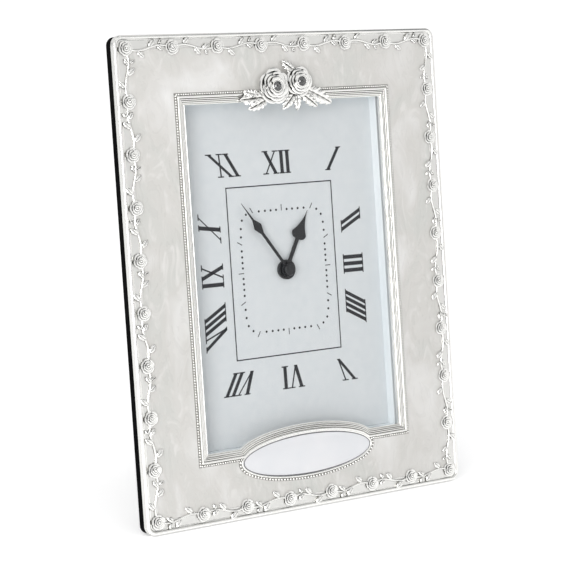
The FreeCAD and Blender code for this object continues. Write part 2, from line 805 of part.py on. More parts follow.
def make_garland():
    """Roses at equal steps round the border, each with the wave of vine that runs to the next."""
    half_width = mm("frameWidth") / 2 - mm("vineInset")
    half_height = mm("frameHeight") / 2 - mm("vineInset")
    radius = mm("roseRadius")
    rose = make_rose(radius, mm("roseRise"))
    columns = int(mm("roseColumns"))
    row_count = int(mm("roseRows"))
    across_step = 2 * half_width / (columns - 1)
    up_step = 2 * half_height / (row_count - 1)
    root = radius / 2
    rail_away = mm("vineInset") - mm("rimInset")
    rail_radius = mm("rimRadius") + mm("seatClearance")
    along_start = FreeCAD.Vector(-across_step, mm("rimSink"), rail_away)
    along_rail = Part.makeCylinder(rail_radius, 2 * across_step, along_start, FreeCAD.Vector(1, 0, 0))
    side_start = FreeCAD.Vector(-rail_away, mm("rimSink"), -across_step)
    side_rail = Part.makeCylinder(rail_radius, 2 * across_step, side_start, FreeCAD.Vector(0, 0, 1))
    turn_away = mm("vineInset") - mm("cornerRadius")
    turn_spot = FreeCAD.Vector(-turn_away, mm("rimSink"), turn_away)
    turn_radius = mm("cornerRadius") - mm("rimInset")
    corner_rail = Part.makeTorus(turn_radius, rail_radius, turn_spot, BACK)
    quarter = Part.makeBox(across_step, across_step, across_step)
    quarter.translate(FreeCAD.Vector(-turn_away - across_step, -across_step / 2, turn_away))
    corner_rail = corner_rail.common(quarter)
    runs = []
    for step in (across_step, up_step):
        vine = make_vine(step - root - radius - mm("seatClearance"))
        vine.translate(FreeCAD.Vector(root, 0, 0))
        run = rose.fuse(vine).cut(along_rail)
        runs.append((run, run.cut([side_rail, corner_rail])))
    sides = (
        (-half_width, half_height, 0, across_step, columns, runs[0]),
        (half_width, half_height, -90, up_step, row_count, runs[1]),
        (half_width, -half_height, 180, across_step, columns, runs[0]),
        (-half_width, -half_height, 90, up_step, row_count, runs[1]),
    )
    garland = []
    for corner_x, corner_z, angle, step, count, run in sides:
        way = FreeCAD.Vector(math.cos(math.radians(angle)), 0, math.sin(math.radians(angle)))
        for k in range(count - 1):
            spot = FreeCAD.Vector(corner_x, 0, corner_z) + way * (step * k)
            garland.append(turned(run[1] if k == 0 else run[0], angle, spot.x, 0, spot.z))
    return Part.makeCompound(garland)


show("rose_vine_border", make_garland())


def make_spray():
    """Two roses and their leaves, on a pad that reaches down to the enamel."""
    crest = -mm("bezelCrest")
    up = mm("sprayRise")
    rise = mm("sprayRoseDepth")
    big_turn = 18.0
    small_turn = 50.0
    small_up = up + mm("smallRoseLift")
    big = turned(make_rose(mm("bigRoseRadius"), rise), big_turn, mm("bigRoseAcross"), crest, up)
    small = turned(
        make_rose(mm("smallRoseRadius"), rise), small_turn, mm("smallRoseAcross"), crest, small_up
    )
    length = mm("sprayLeafLength")
    leaf_shares = (
        (-0.82, -0.31, 184, 0.94),
        (-0.69, -0.39, 205, 0.74),
        (0.33, -0.19, 226, 0.74),
        (0.38, -0.17, 270, 0.60),
        (0.53, -0.23, 323, 0.78),
        (0.76, -0.12, 333, 1.0),
        (0.36, 0.42, 143, 0.60),
    )
    leaves = []
    for across, lift, angle, size in leaf_shares:
        leaf = make_leaf(length * size, mm("sprayLeafWidth") * size, mm("sprayLeafDepth"))
        leaves.append(turned(leaf, angle, length * across, crest, up + length * lift))
    pad_low = mm("openingHeight") / 2 + mm("openingRise") + mm("bezelWidth") + mm("beadBand")
    pad_high = up + mm("bigRoseRadius") / 2
    pad_width = mm("smallRoseAcross") - mm("bigRoseAcross")
    seat = Part.makeBox(pad_width, -crest, pad_high - pad_low - mm("looseClearance"))
    seat.translate(FreeCAD.Vector(mm("bigRoseAcross"), crest, pad_low + mm("looseClearance")))
    return big.multiFuse([small, seat] + leaves)


def make_spray_crystals():
    """A cut stone in the heart of each rose of the spray."""
    front = -mm("bezelCrest") - mm("sprayRoseDepth")
    table = mm("crystalRadius") / 2
    forward = FreeCAD.Vector(0, -1, 0)
    stones = []
    for across, lift in ((mm("bigRoseAcross"), 0), (mm("smallRoseAcross"), mm("smallRoseLift"))):
        spot = FreeCAD.Vector(across, front, mm("sprayRise") + lift)
        stones.append(Part.makeCone(mm("crystalRadius"), table, mm("crystalDepth"), spot, forward))
    return Part.makeCompound(stones)


show("rose_spray", make_spray())
show("spray_crystals", make_spray_crystals())

# Glass, the well behind it and the dial card

glass = new_body("front_glass")
add_plate(
    glass, "sheet", "Sizes.glassFront", "Sizes.glassThickness", "Sizes.glassWidth", "Sizes.glassHeight",
    "0", "Sizes.openingRise",
)

well = new_body("dial_well")
add_plate(
    well, "flange", "Sizes.glassBack", "Sizes.wellFlangeThickness", "Sizes.flangeWidth",
    "Sizes.flangeHeight", "0", "Sizes.openingRise",
)
add_plate(
    well, "tub", "Sizes.glassBack", "Sizes.caseFront - Sizes.glassBack", "Sizes.wellOuterWidth",
    "Sizes.wellOuterHeight", "0", "Sizes.openingRise",
)
for side, across in (("left", "-Sizes.lugAcross"), ("right", "Sizes.lugAcross")):
    add_disc(
        well, f"{side}_boss", "Sizes.caseFront - Sizes.overrun", "Sizes.bossHeight + Sizes.overrun",
        "Sizes.bossRadius", across, "Sizes.dialRise",
    )
cut_plate(
    well, "cavity", "Sizes.glassBack", "Sizes.dialBack - Sizes.glassBack", "Sizes.wellWidth",
    "Sizes.wellHeight", "0", "Sizes.openingRise",
)
cut_disc(
    well, "spigot_hole", "Sizes.dialBack", "Sizes.wellFloor", "Sizes.spigotRadius + Sizes.seatClearance",
    "0", "Sizes.dialRise",
)
for side, across in (("left", "-Sizes.lugAcross"), ("right", "Sizes.lugAcross")):
    cut_disc(
        well, f"{side}_screw_hole", "Sizes.lugBack - Sizes.lugScrewReach",
        "Sizes.lugScrewReach - Sizes.lugThickness", "Sizes.shankHole", across, "Sizes.dialRise",
    )

dial = new_body("dial_card")
add_plate(
    dial, "card", "Sizes.dialDepth", "Sizes.dialThickness", "Sizes.wellWidth - 2 * Sizes.seatClearance",
    "Sizes.wellHeight - 2 * Sizes.seatClearance", "0", "Sizes.openingRise",
)
cut_disc(
    dial, "hole", "Sizes.dialDepth", "Sizes.dialThickness", "Sizes.spigotRadius + Sizes.seatClearance",
    "0", "Sizes.dialRise",
)

# Covered board behind the casting, bevelled level where the frame stands

board = new_body("base_board")
add_plate(
    board, "board", "Sizes.flangeDepth", "Sizes.boardThickness", "Sizes.boardWidth", "Sizes.boardHeight"
)
round_corners(board, "Sizes.boardCornerRadius")
cut_plate(
    board, "flange_rabbet", "Sizes.flangeDepth",
    "Sizes.glassBack + Sizes.wellFlangeThickness - Sizes.flangeDepth",
    "Sizes.flangeWidth + 2 * Sizes.looseClearance", "Sizes.flangeHeight + 2 * Sizes.looseClearance",
    "0", "Sizes.openingRise",
)
cut_plate(
    board, "bore", "Sizes.flangeDepth", "Sizes.boardThickness", "Sizes.boxBoreWidth", "Sizes.boxBoreHeight"
)
bevel = new_sketch(board, "bevel", "0", "YZ_Plane")
draw_outline(bevel, [
    ("Sizes.boardBack - Sizes.bevelRun", "-Sizes.boardHeight / 2"),
    ("Sizes.boardBack - Sizes.bevelRun", "-Sizes.boardHeight / 2 - Sizes.overrun"),
    ("Sizes.boardBack + Sizes.overrun", "-Sizes.boardHeight / 2 - Sizes.overrun"),
    (
        "Sizes.boardBack + Sizes.overrun",
        "-Sizes.boardHeight / 2 + Sizes.bevelRise * (1 + Sizes.overrun / Sizes.bevelRun)",
    ),
])
pocket(board, bevel, "Sizes.frameWidth", True)

# Box behind the board

rear_box = new_body("rear_box")
add_plate(rear_box, "box", "Sizes.boardBack", "Sizes.boxDepth", "Sizes.boxWidth", "Sizes.boxHeight")
round_corners(rear_box, "Sizes.boxCornerRadius")
cut_plate(rear_box, "bore", "Sizes.boardBack", "Sizes.boxDepth", "Sizes.boxBoreWidth", "Sizes.boxBoreHeight")
cut_plate(
    rear_box, "rabbet", "Sizes.panelFront", "Sizes.panelThickness", "Sizes.rabbetWidth", "Sizes.rabbetHeight"
)
BUTTON_PLACES = (
    ("upper_left", "-Sizes.buttonAcross", "Sizes.buttonUp", 1, 1),
    ("lower_left", "-Sizes.buttonAcross", "-Sizes.buttonUp", 1, -1),
    ("upper_right", "Sizes.buttonAcross", "Sizes.buttonUp", -1, 1),
    ("lower_right", "Sizes.buttonAcross", "-Sizes.buttonUp", -1, -1),
)
for place, across, up, inward, rise in BUTTON_PLACES:
    cut_disc(
        rear_box, f"{place}_hole", "Sizes.boxBack - Sizes.screwReach", "Sizes.screwReach", "Sizes.shankHole",
        across, up,
    )

# Back panel with the window to the movement

panel = new_body("back_panel")
add_plate(
    panel, "panel", "Sizes.panelFront", "Sizes.panelThickness", "Sizes.panelWidth", "Sizes.panelHeight"
)
cut_plate(
    panel, "window", "Sizes.panelFront", "Sizes.panelThickness", "Sizes.windowSize", "Sizes.windowSize",
    "0", "Sizes.dialRise",
)
RIVET_PLACES = (
    ("left_near", "-Sizes.rivetAcross", "Sizes.rivetNear"),
    ("right_near", "Sizes.rivetAcross", "Sizes.rivetNear"),
    ("left_far", "-Sizes.rivetAcross", "Sizes.rivetFar"),
    ("right_far", "Sizes.rivetAcross", "Sizes.rivetFar"),
)
for place, across, away in RIVET_PLACES:
    cut_disc(
        panel, f"{place}_hole", "Sizes.panelFront", "Sizes.panelThickness", "Sizes.rivetHole",
        across, f"Sizes.hingeRise + {away}",
    )

# Turn buttons and their screws

for place, across, up, inward, rise in BUTTON_PLACES:
    button = new_body(f"turn_button_{place}")
    middle = f"({across}) + {inward} * (Sizes.buttonLength / 2 - Sizes.buttonHeel)"
    add_plate(
        button, "link", "Sizes.buttonFront", "Sizes.buttonThickness", "Sizes.buttonLength",
        "Sizes.buttonWidth", middle, up,
    )
    round_corners(button, "Sizes.buttonRound")
    cut_disc(button, "hole", "Sizes.buttonFront", "Sizes.buttonThickness", "Sizes.shankHole", across, up)


def drum(radius, front, back, x=0.0, z=0.0):
    """A cylinder along Y between two depths."""
    return Part.makeCylinder(radius, back - front, FreeCAD.Vector(x, front, z), BACK)


def make_pins(spots, shank_radius, shank_front, shank_back, head_radius, head_start, head_back):
    """A group of like screws or rivets: a shank with a wider head on it."""
    pins = []
    for x, z in spots:
        shank = drum(shank_radius, shank_front, shank_back, x, z)
        pins.append(shank.fuse(drum(head_radius, head_start, head_back, x, z)).removeSplitter())
    return Part.makeCompound(pins)


button_spots = [(sx * button_across, sz * button_up) for sx in (-1, 1) for sz in (-1, 1)]
show("turn_button_screws", make_pins(
    button_spots, mm("screwRadius"), box_back - mm("screwReach"), head_front,
    mm("screwHeadRadius"), head_front, head_front + mm("screwHeadDepth"),
))

# Strut hinge: leaf on the panel, pin, and leaf on the leg, drawn with the leg folded flat

leaf_fixed = new_body("hinge_leaf_fixed")
fixed_barrel = new_sketch(leaf_fixed, "barrel", "0", "YZ_Plane")
draw_circle(fixed_barrel, "Sizes.knuckleRadius", "Sizes.hingeDepth", "Sizes.hingeRise")
pad(leaf_fixed, fixed_barrel, "Sizes.hingeWidth", True)
add_plate(
    leaf_fixed, "leaf", "Sizes.boxBack", "Sizes.leafThickness", "Sizes.hingeWidth", "Sizes.hingeLeafHeight",
    "0", "Sizes.hingeRise + Sizes.hingeLeafHeight / 2",
)
cut_plate(
    leaf_fixed, "knuckle_gap", "Sizes.boxBack", "Sizes.hingeOffset + Sizes.knuckleRadius + Sizes.overrun",
    "Sizes.movingKnuckle + 2 * Sizes.looseClearance", "2 * Sizes.knuckleRadius + 2 * Sizes.looseClearance",
    "0", "Sizes.hingeRise",
)
fixed_bore = new_sketch(leaf_fixed, "bore", "0", "YZ_Plane")
draw_circle(fixed_bore, "Sizes.pinRadius + Sizes.seatClearance", "Sizes.hingeDepth", "Sizes.hingeRise")
pocket(leaf_fixed, fixed_bore, "Sizes.hingeWidth", True)
for place, across, away in RIVET_PLACES:
    cut_disc(
        leaf_fixed, f"{place}_hole", "Sizes.boxBack", "Sizes.leafThickness", "Sizes.rivetHole",
        across, f"Sizes.hingeRise + {away}",
    )

pin = new_body("hinge_pin")
pin_sketch = new_sketch(pin, "pin", "0", "YZ_Plane")
draw_circle(pin_sketch, "Sizes.pinRadius", "Sizes.hingeDepth", "Sizes.hingeRise")
pad(pin, pin_sketch, "Sizes.hingeWidth + 2 * Sizes.pinOverhang", True)

leaf_moving = new_body("hinge_leaf_moving")
moving_barrel = new_sketch(leaf_moving, "barrel", "0", "YZ_Plane")
draw_circle(moving_barrel, "Sizes.knuckleRadius", "Sizes.hingeDepth", "Sizes.hingeRise")
pad(leaf_moving, moving_barrel, "Sizes.movingKnuckle", True)
add_plate(
    leaf_moving, "web", "Sizes.hingeDepth - Sizes.knuckleRadius", "Sizes.leafThickness",
    "Sizes.movingKnuckle", "Sizes.legTopDrop", "0", "Sizes.hingeRise - Sizes.legTopDrop / 2",
)
add_plate(
    leaf_moving, "leaf", "Sizes.hingeDepth - Sizes.knuckleRadius", "Sizes.leafThickness", "Sizes.hingeWidth",
    "Sizes.hingeLeafHeight - Sizes.legTopDrop", "0",
    "Sizes.hingeRise - Sizes.legTopDrop - (Sizes.hingeLeafHeight - Sizes.legTopDrop) / 2",
)
stop = new_sketch(leaf_moving, "stop", "0", "YZ_Plane")
draw_outline(stop, stop_corners)
pad(leaf_moving, stop, "Sizes.movingKnuckle", True)
moving_bore = new_sketch(leaf_moving, "bore", "0", "YZ_Plane")
draw_circle(moving_bore, "Sizes.pinRadius + Sizes.runClearance", "Sizes.hingeDepth", "Sizes.hingeRise")
pocket(leaf_moving, moving_bore, "Sizes.hingeWidth", True)
for place, across, away in RIVET_PLACES:
    cut_disc(
        leaf_moving, f"{place}_hole", "Sizes.hingeDepth - Sizes.knuckleRadius", "Sizes.leafThickness",
        "Sizes.rivetHole", across, f"Sizes.hingeRise - {away}",
    )
leg_pieces.append(leaf_moving)

# Strut leg, cut level where it stands

leg = new_body("strut_leg")
leg_outline = new_sketch(leg, "outline", "Sizes.leafBack")
draw_outline(leg_outline, [
    ("-Sizes.legFootWidth / 2", "Sizes.hingeRise - Sizes.legLow"),
    ("Sizes.legFootWidth / 2", "Sizes.hingeRise - Sizes.legLow"),
    ("Sizes.legTopWidth / 2", "Sizes.hingeRise - Sizes.legTopDrop"),
    ("-Sizes.legTopWidth / 2", "Sizes.hingeRise - Sizes.legTopDrop"),
])
pad(leg, leg_outline, "Sizes.legThickness")
foot_cut = new_sketch(leg, "foot_cut", "0", "YZ_Plane")
draw_outline(foot_cut, [
    ("Sizes.leafBack", "Sizes.hingeRise - Sizes.footFront"),
    ("Sizes.leafBack", "Sizes.hingeRise - Sizes.legLow - Sizes.overrun"),
    ("Sizes.leafBack + Sizes.legThickness", "Sizes.hingeRise - Sizes.legLow - Sizes.overrun"),
    ("Sizes.leafBack + Sizes.legThickness", "Sizes.hingeRise - Sizes.footBack"),
])
pocket(leg, foot_cut, "Sizes.legFootWidth", True)
for place, across, away in RIVET_PLACES:
    cut_disc(
        leg, f"{place}_hole", "Sizes.leafBack", "Sizes.legThickness", "Sizes.rivetHole",
        across, f"Sizes.hingeRise - {away}",
    )
leg_pieces.append(leg)

rivet_aways = (mm("rivetNear"), mm("rivetFar"))
rivet_ways = [(sx * mm("rivetAcross"), away) for sx in (-1, 1) for away in rivet_aways]
fixed_back = box_back + mm("leafThickness")
show("panel_rivets", make_pins(
    [(x, mm("hingeRise") + away) for x, away in rivet_ways], mm("rivetRadius"), panel_front, fixed_back,
    mm("rivetHeadRadius"), fixed_back, fixed_back + mm("rivetHeadDepth"),
))
leg_back = leaf_back + mm("legThickness")
leg_rivets = show("leg_rivets", make_pins(
    [(x, mm("hingeRise") - away) for x, away in rivet_ways], mm("rivetRadius"),
    leaf_back - mm("leafThickness"), leg_back,
    mm("rivetHeadRadius"), leg_back, leg_back + mm("rivetHeadDepth"),
))
leg_pieces.append(leg_rivets)

# Toothed wheels

ADDENDUM_SHARE = 0.85
DEDENDUM_SHARE = 1.2
PITCH_TOOTH_SHARE = 0.40
TIP_TOOTH_SHARE = 0.17
ROOT_TOOTH_SHARE = 0.52


def toothed_disc(module, teeth, phase, front, thickness):
    """A spur wheel on the Y axis; phase is the angle in degrees of its first tooth's middle."""
    pitch = pitch_radius(module, teeth)
    root = pitch - module * DEDENDUM_SHARE
    tip = pitch + module * ADDENDUM_SHARE
    turn = 2 * math.pi / teeth
    flank = ((root, ROOT_TOOTH_SHARE), (pitch, PITCH_TOOTH_SHARE), (tip, TIP_TOOTH_SHARE))
    points = []
    for k in range(teeth):
        middle = math.radians(phase) + turn * k
        for radius, share in flank:
            angle = middle - turn * share / 2
            points.append(FreeCAD.Vector(radius * math.cos(angle), 0, radius * math.sin(angle)))
        for radius, share in reversed(flank):
            angle = middle + turn * share / 2
            points.append(FreeCAD.Vector(radius * math.cos(angle), 0, radius * math.sin(angle)))
    return thicken(Part.Face(Part.makePolygon(points + points[:1])), front, front + thickness)


def meeting_phase(phase, teeth, direction, mate_teeth):
    """Phase of a mating wheel that lies in a direction from a wheel of known phase."""
    pitch = 360.0 / teeth
    offset = (phase - direction) % pitch
    gap = direction + 180.0 - offset * teeth / mate_teeth
    return gap + 180.0 / mate_teeth


def wheel(module, teeth, phase, step):
    """A wheel that fills its layer."""
    return toothed_disc(module, teeth, phase, level(step), wheel_thickness)


def pinion(module, teeth, phase, step):
    """A pinion, a little longer than the wheel it drives."""
    return toothed_disc(module, teeth, phase, level(step) - over, wheel_thickness + 2 * over)


def at_spot(shape, spot):
    """Move a wheel from the Y axis to its place on the movement."""
    shape.translate(FreeCAD.Vector(spot[0], 0, spot[1]))
    return shape


post_radius = mm("postRadius")
post_bore = post_radius + mm("runClearance")
hub_radius = mm("hubRadius")
neck_radius = mm("neckRadius")
hub_end = train_back - post_tip

# Motion work: minute arbor, hour wheel, motion wheel and setting stem

cannon_phase = motion_way
motion_phase = meeting_phase(cannon_phase, cannon_teeth, motion_way, motion_teeth)
setting_phase = meeting_phase(motion_phase, motion_teeth, motion_way, setting_teeth)
motion_pinion_phase = motion_way
hour_phase = meeting_phase(motion_pinion_phase, motion_pinion_teeth, motion_way + 180.0, hour_teeth)

arbor = drum(mm("arborRadius"), minute_hub_front, arbor_shoulder)
arbor = arbor.fuse(pinion(motion_module, cannon_teeth, cannon_phase, MOTION))
arbor = arbor.fuse(drum(mm("rearArborRadius"), level(MOTION), arbor_end))
pivot_bore = drum(post_bore, arbor_end - mm("pivotDepth"), arbor_end + mm("overrun"))
show("minute_arbor", at_spot(arbor.cut(pivot_bore), axis_spot))

hour = wheel(motion_module, hour_teeth, hour_phase, HOUR)
hour = hour.fuse(drum(mm("pipeRadius"), hour_hub_front, level(HOUR)))
hour_bore = drum(mm("arborRadius") + mm("runClearance"), hour_hub_front - mm("overrun"), level(MOTION))
show("hour_wheel", at_spot(hour.cut(hour_bore), axis_spot))

motion = wheel(motion_module, motion_teeth, motion_phase, MOTION)
motion = motion.fuse(pinion(motion_module, motion_pinion_teeth, motion_pinion_phase, HOUR))
motion = motion.fuse(drum(neck_radius, level(HOUR), level(MOTION)))
motion = motion.cut(drum(post_bore, train_front, level(CENTRE)))
show("motion_wheel", at_spot(motion, motion_spot))

knob_front = case_back + mm("knobGap")
knob_back = knob_front + mm("knobThickness")
stem = pinion(motion_module, setting_teeth, setting_phase, MOTION)
stem = stem.fuse(drum(post_radius, train_front - mm("stemPivotDepth") + mm("runClearance"), level(MOTION)))
stem = stem.fuse(drum(mm("stemRadius"), level(MOTION) + wheel_thickness, knob_front))
stem = stem.fuse(drum(mm("stemRadius") / 2, knob_front, knob_back))
show("setting_stem", at_spot(stem, setting_spot))

knob_module = 2 * mm("knobRadius") / (mm("knobTeeth") + 2)
knob = toothed_disc(knob_module, int(mm("knobTeeth")), 0.0, knob_front, mm("knobThickness"))
knob = knob.cut(drum(mm("stemRadius") / 2 + mm("seatClearance") / 2, knob_front, knob_back))
show("setting_knob", at_spot(knob, setting_spot))

# Going train, from the centre wheel back to the rotor

centre_phase = third_way
third_pinion_phase = meeting_phase(centre_phase, centre_teeth, third_way, third_pinion_teeth)
third_phase = third_way + 180.0
second_pinion_phase = meeting_phase(third_phase, third_teeth, third_way + 180.0, second_pinion_teeth)
second_phase = between_way
between_pinion_phase = meeting_phase(second_phase, second_teeth, between_way, between_pinion_teeth)
between_phase = rotor_way
rotor_phase = meeting_phase(between_phase, between_teeth, rotor_way, rotor_pinion_teeth)

centre = wheel(centre_module, centre_teeth, centre_phase, CENTRE)
centre = centre.cut(drum(mm("rearArborRadius") + mm("runClearance"), level(MOTION), level(THIRD)))
show("centre_wheel", at_spot(centre, axis_spot))

third = wheel(third_module, third_teeth, third_phase, THIRD)
third = third.fuse(pinion(centre_module, third_pinion_teeth, third_pinion_phase, CENTRE))
third = third.fuse(drum(neck_radius, level(HOUR), level(THIRD)))
third = third.cut(drum(post_bore, train_front, level(SECOND)))
show("third_wheel", at_spot(third, third_spot))

second = wheel(second_module, second_teeth, second_phase, SECOND)
second = second.fuse(pinion(third_module, second_pinion_teeth, second_pinion_phase, THIRD))
second = second.fuse(drum(neck_radius, level(THIRD), level(SECOND)))
second = second.fuse(drum(hub_radius, level(SECOND), hub_end))
second = second.cut(drum(post_bore, level(CENTRE), train_back))
show("second_wheel", at_spot(second, axis_spot))

between = wheel(between_module, between_teeth, between_phase, BETWEEN)
between = between.fuse(pinion(second_module, between_pinion_teeth, between_pinion_phase, SECOND))
between = between.fuse(drum(neck_radius, level(SECOND), level(BETWEEN)))
between = between.fuse(drum(hub_radius, level(BETWEEN), hub_end))
between = between.cut(drum(post_bore, level(THIRD), train_back))
show("intermediate_wheel", at_spot(between, between_spot))

magnet_front = level(BETWEEN) + wheel_thickness + 2 * over + post_tip
rotor = pinion(between_module, rotor_pinion_teeth, rotor_phase, BETWEEN)
rotor = rotor.fuse(drum(neck_radius, level(BETWEEN), magnet_front + over))
rotor = rotor.fuse(drum(mm("magnetRadius"), magnet_front, magnet_front + mm("magnetThickness")))
rotor = rotor.cut(drum(post_bore, level(SECOND), train_back))
show("rotor", at_spot(rotor, rotor_spot))

# Movement case: spigot for the hands, posts for the wheels, bay for the cell

case = new_body("movement_case")
add_plate(
    case, "block", "Sizes.caseFront", "Sizes.caseDepth", "Sizes.caseSize", "Sizes.caseSize",
    "0", "Sizes.dialRise",
)
round_corners(case, "Sizes.caseCornerRadius")
add_disc(
    case, "spigot", "Sizes.dialDepth", "Sizes.caseFront - Sizes.dialDepth", "Sizes.spigotRadius",
    "0", "Sizes.dialRise",
)
for side, across in (("left", "-Sizes.lugAcross"), ("right", "Sizes.lugAcross")):
    add_plate(
        case, f"{side}_lug", "Sizes.lugFront", "Sizes.lugThickness", "Sizes.lugWidth", "Sizes.lugHeight",
        across, "Sizes.dialRise",
    )
cut_plate(
    case, "train_bay", "Sizes.trainFront", "Sizes.caseDepth", "Sizes.caseBore", "Sizes.trainHeight",
    "0", "Sizes.trainUp",
)
cut_plate(
    case, "cell_bay", "Sizes.trainFront", "Sizes.caseDepth", "Sizes.caseBore", "Sizes.bayHeight",
    "0", "Sizes.bayUp",
)
for side, across in (("left", "-Sizes.lugAcross"), ("right", "Sizes.lugAcross")):
    cut_disc(
        case, f"{side}_lug_hole", "Sizes.lugFront", "Sizes.lugThickness", "Sizes.shankHole",
        across, "Sizes.dialRise",
    )
cut_disc(
    case, "pipe_bore", "Sizes.dialDepth", "Sizes.trainFront - Sizes.dialDepth",
    "Sizes.pipeRadius + Sizes.runClearance", "0", "Sizes.dialRise",
)
add_disc(
    case, "motion_post", "Sizes.trainFront", "Sizes.motionPostEnd - Sizes.trainFront", "Sizes.postRadius",
    "Sizes.motionPostX", "Sizes.motionPostZ",
)
add_disc(
    case, "third_post", "Sizes.trainFront", "Sizes.thirdPostEnd - Sizes.trainFront", "Sizes.postRadius",
    "Sizes.thirdPostX", "Sizes.thirdPostZ",
)
cut_disc(
    case, "stem_pivot", "Sizes.trainFront - Sizes.stemPivotDepth", "Sizes.stemPivotDepth",
    "Sizes.postRadius + Sizes.runClearance", "Sizes.settingX", "Sizes.settingZ",
)
for place, side in (("low", "-1"), ("high", "1")):
    add_disc(
        case, f"circuit_post_{place}", "Sizes.trainFront", "Sizes.circuitLift", "Sizes.circuitPostRadius",
        "Sizes.circuitAcross - Sizes.circuitWidth / 4", f"Sizes.circuitUp + {side} * Sizes.circuitHeight / 3",
    )

cover = new_body("movement_cover")
add_plate(
    cover, "cover", "Sizes.trainBack", "Sizes.coverThickness", "Sizes.caseBore - 2 * Sizes.coverClearance",
    "Sizes.trainHeight - 2 * Sizes.coverClearance", "0", "Sizes.trainUp",
)
cut_disc(
    cover, "stem_hole", "Sizes.trainBack", "Sizes.coverThickness", "Sizes.stemRadius + Sizes.runClearance",
    "Sizes.settingX", "Sizes.settingZ",
)
add_disc(
    cover, "centre_post", "Sizes.centrePostFront", "Sizes.trainBack - Sizes.centrePostFront",
    "Sizes.postRadius", "0", "Sizes.dialRise",
)
add_disc(
    cover, "intermediate_post", "Sizes.betweenPostFront", "Sizes.trainBack - Sizes.betweenPostFront",
    "Sizes.postRadius", "Sizes.betweenX", "Sizes.betweenZ",
)
add_disc(
    cover, "rotor_post", "Sizes.rotorPostFront", "Sizes.trainBack - Sizes.rotorPostFront",
    "Sizes.postRadius", "Sizes.rotorX", "Sizes.rotorZ",
)
STATOR_SIDES = (("left", "-1"), ("right", "1"))
for place, side in STATOR_SIDES:
    add_disc(
        cover, f"stator_post_{place}", "Sizes.statorBack", "Sizes.statorSetback",
        "Sizes.circuitPostRadius", f"Sizes.rotorX + {side} * Sizes.statorLegAcross",
        "Sizes.rotorZ + Sizes.statorLegHeight / 2",
    )

lug_spots = [(-lug_across, mm("dialRise")), (lug_across, mm("dialRise"))]
show("movement_screws", make_pins(
    lug_spots, mm("screwRadius"), lug_back - mm("lugScrewReach"), lug_back,
    mm("screwHeadRadius"), lug_back, lug_back + mm("screwHeadDepth"),
))

# Drive: stator, coil on its core, circuit board

stator = new_body("stator_plate")
add_disc(
    stator, "ring", "Sizes.statorFront", "Sizes.statorThickness",
    "Sizes.magnetRadius + Sizes.statorAir + Sizes.statorRing", "Sizes.rotorX", "Sizes.rotorZ",
)
add_plate(
    stator, "bridge", "Sizes.statorFront", "Sizes.statorThickness",
    "2 * Sizes.statorLegAcross + Sizes.statorLegWidth", "Sizes.statorLegWidth",
    "Sizes.rotorX", "Sizes.rotorZ + Sizes.statorLegWidth / 2",
)
for place, side in STATOR_SIDES:
    add_plate(
        stator, f"leg_{place}", "Sizes.statorFront", "Sizes.statorThickness",
        "Sizes.statorLegWidth", "Sizes.statorLegHeight", f"Sizes.rotorX + {side} * Sizes.statorLegAcross",
        "Sizes.rotorZ + Sizes.statorLegHeight / 2",
    )
cut_disc(
    stator, "bore", "Sizes.statorFront", "Sizes.statorThickness", "Sizes.magnetRadius + Sizes.statorAir",
    "Sizes.rotorX", "Sizes.rotorZ",
)

core = new_body("coil_core")
add_plate(
    core, "bar", "Sizes.statorFront - Sizes.coilCoreThickness", "Sizes.coilCoreThickness",
    "2 * Sizes.statorLegAcross + Sizes.statorLegWidth", "Sizes.coilCoreWidth",
    "Sizes.rotorX", "Sizes.rotorZ + Sizes.coilRise",
)


def coil_drum(radius, length):
    """A cylinder along X about the middle of the coil."""
    start = FreeCAD.Vector(rotor_spot[0] - length / 2, coil_depth, rotor_spot[1] + mm("coilRise"))
    return Part.makeCylinder(radius, length, start, FreeCAD.Vector(1, 0, 0))


coil_length = mm("coilLength")
flange = mm("coilFlangeThickness")
wound_length = coil_length - 2 * flange
bobbin = coil_drum(mm("coilFlangeRadius"), coil_length)
spool = coil_drum(mm("coilFlangeRadius") + mm("overrun"), wound_length)
bobbin = bobbin.cut(spool.cut(coil_drum(mm("coilTubeRadius"), wound_length)))
slot_height = mm("coilCoreWidth") + 2 * mm("seatClearance")
slot_depth = mm("coilCoreThickness") + 2 * mm("seatClearance")
slot_low = rotor_spot[1] + mm("coilRise") - slot_height / 2
slot = Part.makeBox(coil_length, slot_depth, slot_height)
slot.translate(FreeCAD.Vector(rotor_spot[0] - coil_length / 2, coil_depth - slot_depth / 2, slot_low))
show("coil_bobbin", bobbin.cut(slot))
winding = coil_drum(mm("coilWindingRadius"), wound_length)
show("coil_winding", winding.cut(coil_drum(mm("coilTubeRadius"), wound_length)))

circuit = new_body("circuit_board")
add_plate(
    circuit, "board", "Sizes.trainFront + Sizes.circuitLift", "Sizes.circuitThickness",
    "Sizes.circuitWidth", "Sizes.circuitHeight", "Sizes.circuitAcross", "Sizes.circuitUp",
)
can_start = FreeCAD.Vector(
    mm("circuitAcross"), circuit_back + mm("crystalCanRadius"), mm("circuitUp") + mm("crystalCanLength") / 2
)
show("crystal_can", Part.makeCylinder(
    mm("crystalCanRadius"), mm("crystalCanLength"), can_start, FreeCAD.Vector(0, 0, 1)
))
chip = new_body("driver_chip")
add_disc(
    chip, "blob", "Sizes.circuitBack", "Sizes.chipHeight", "Sizes.chipRadius",
    "Sizes.circuitAcross", "Sizes.circuitUp - Sizes.circuitHeight / 4",
)

# Cell and contacts

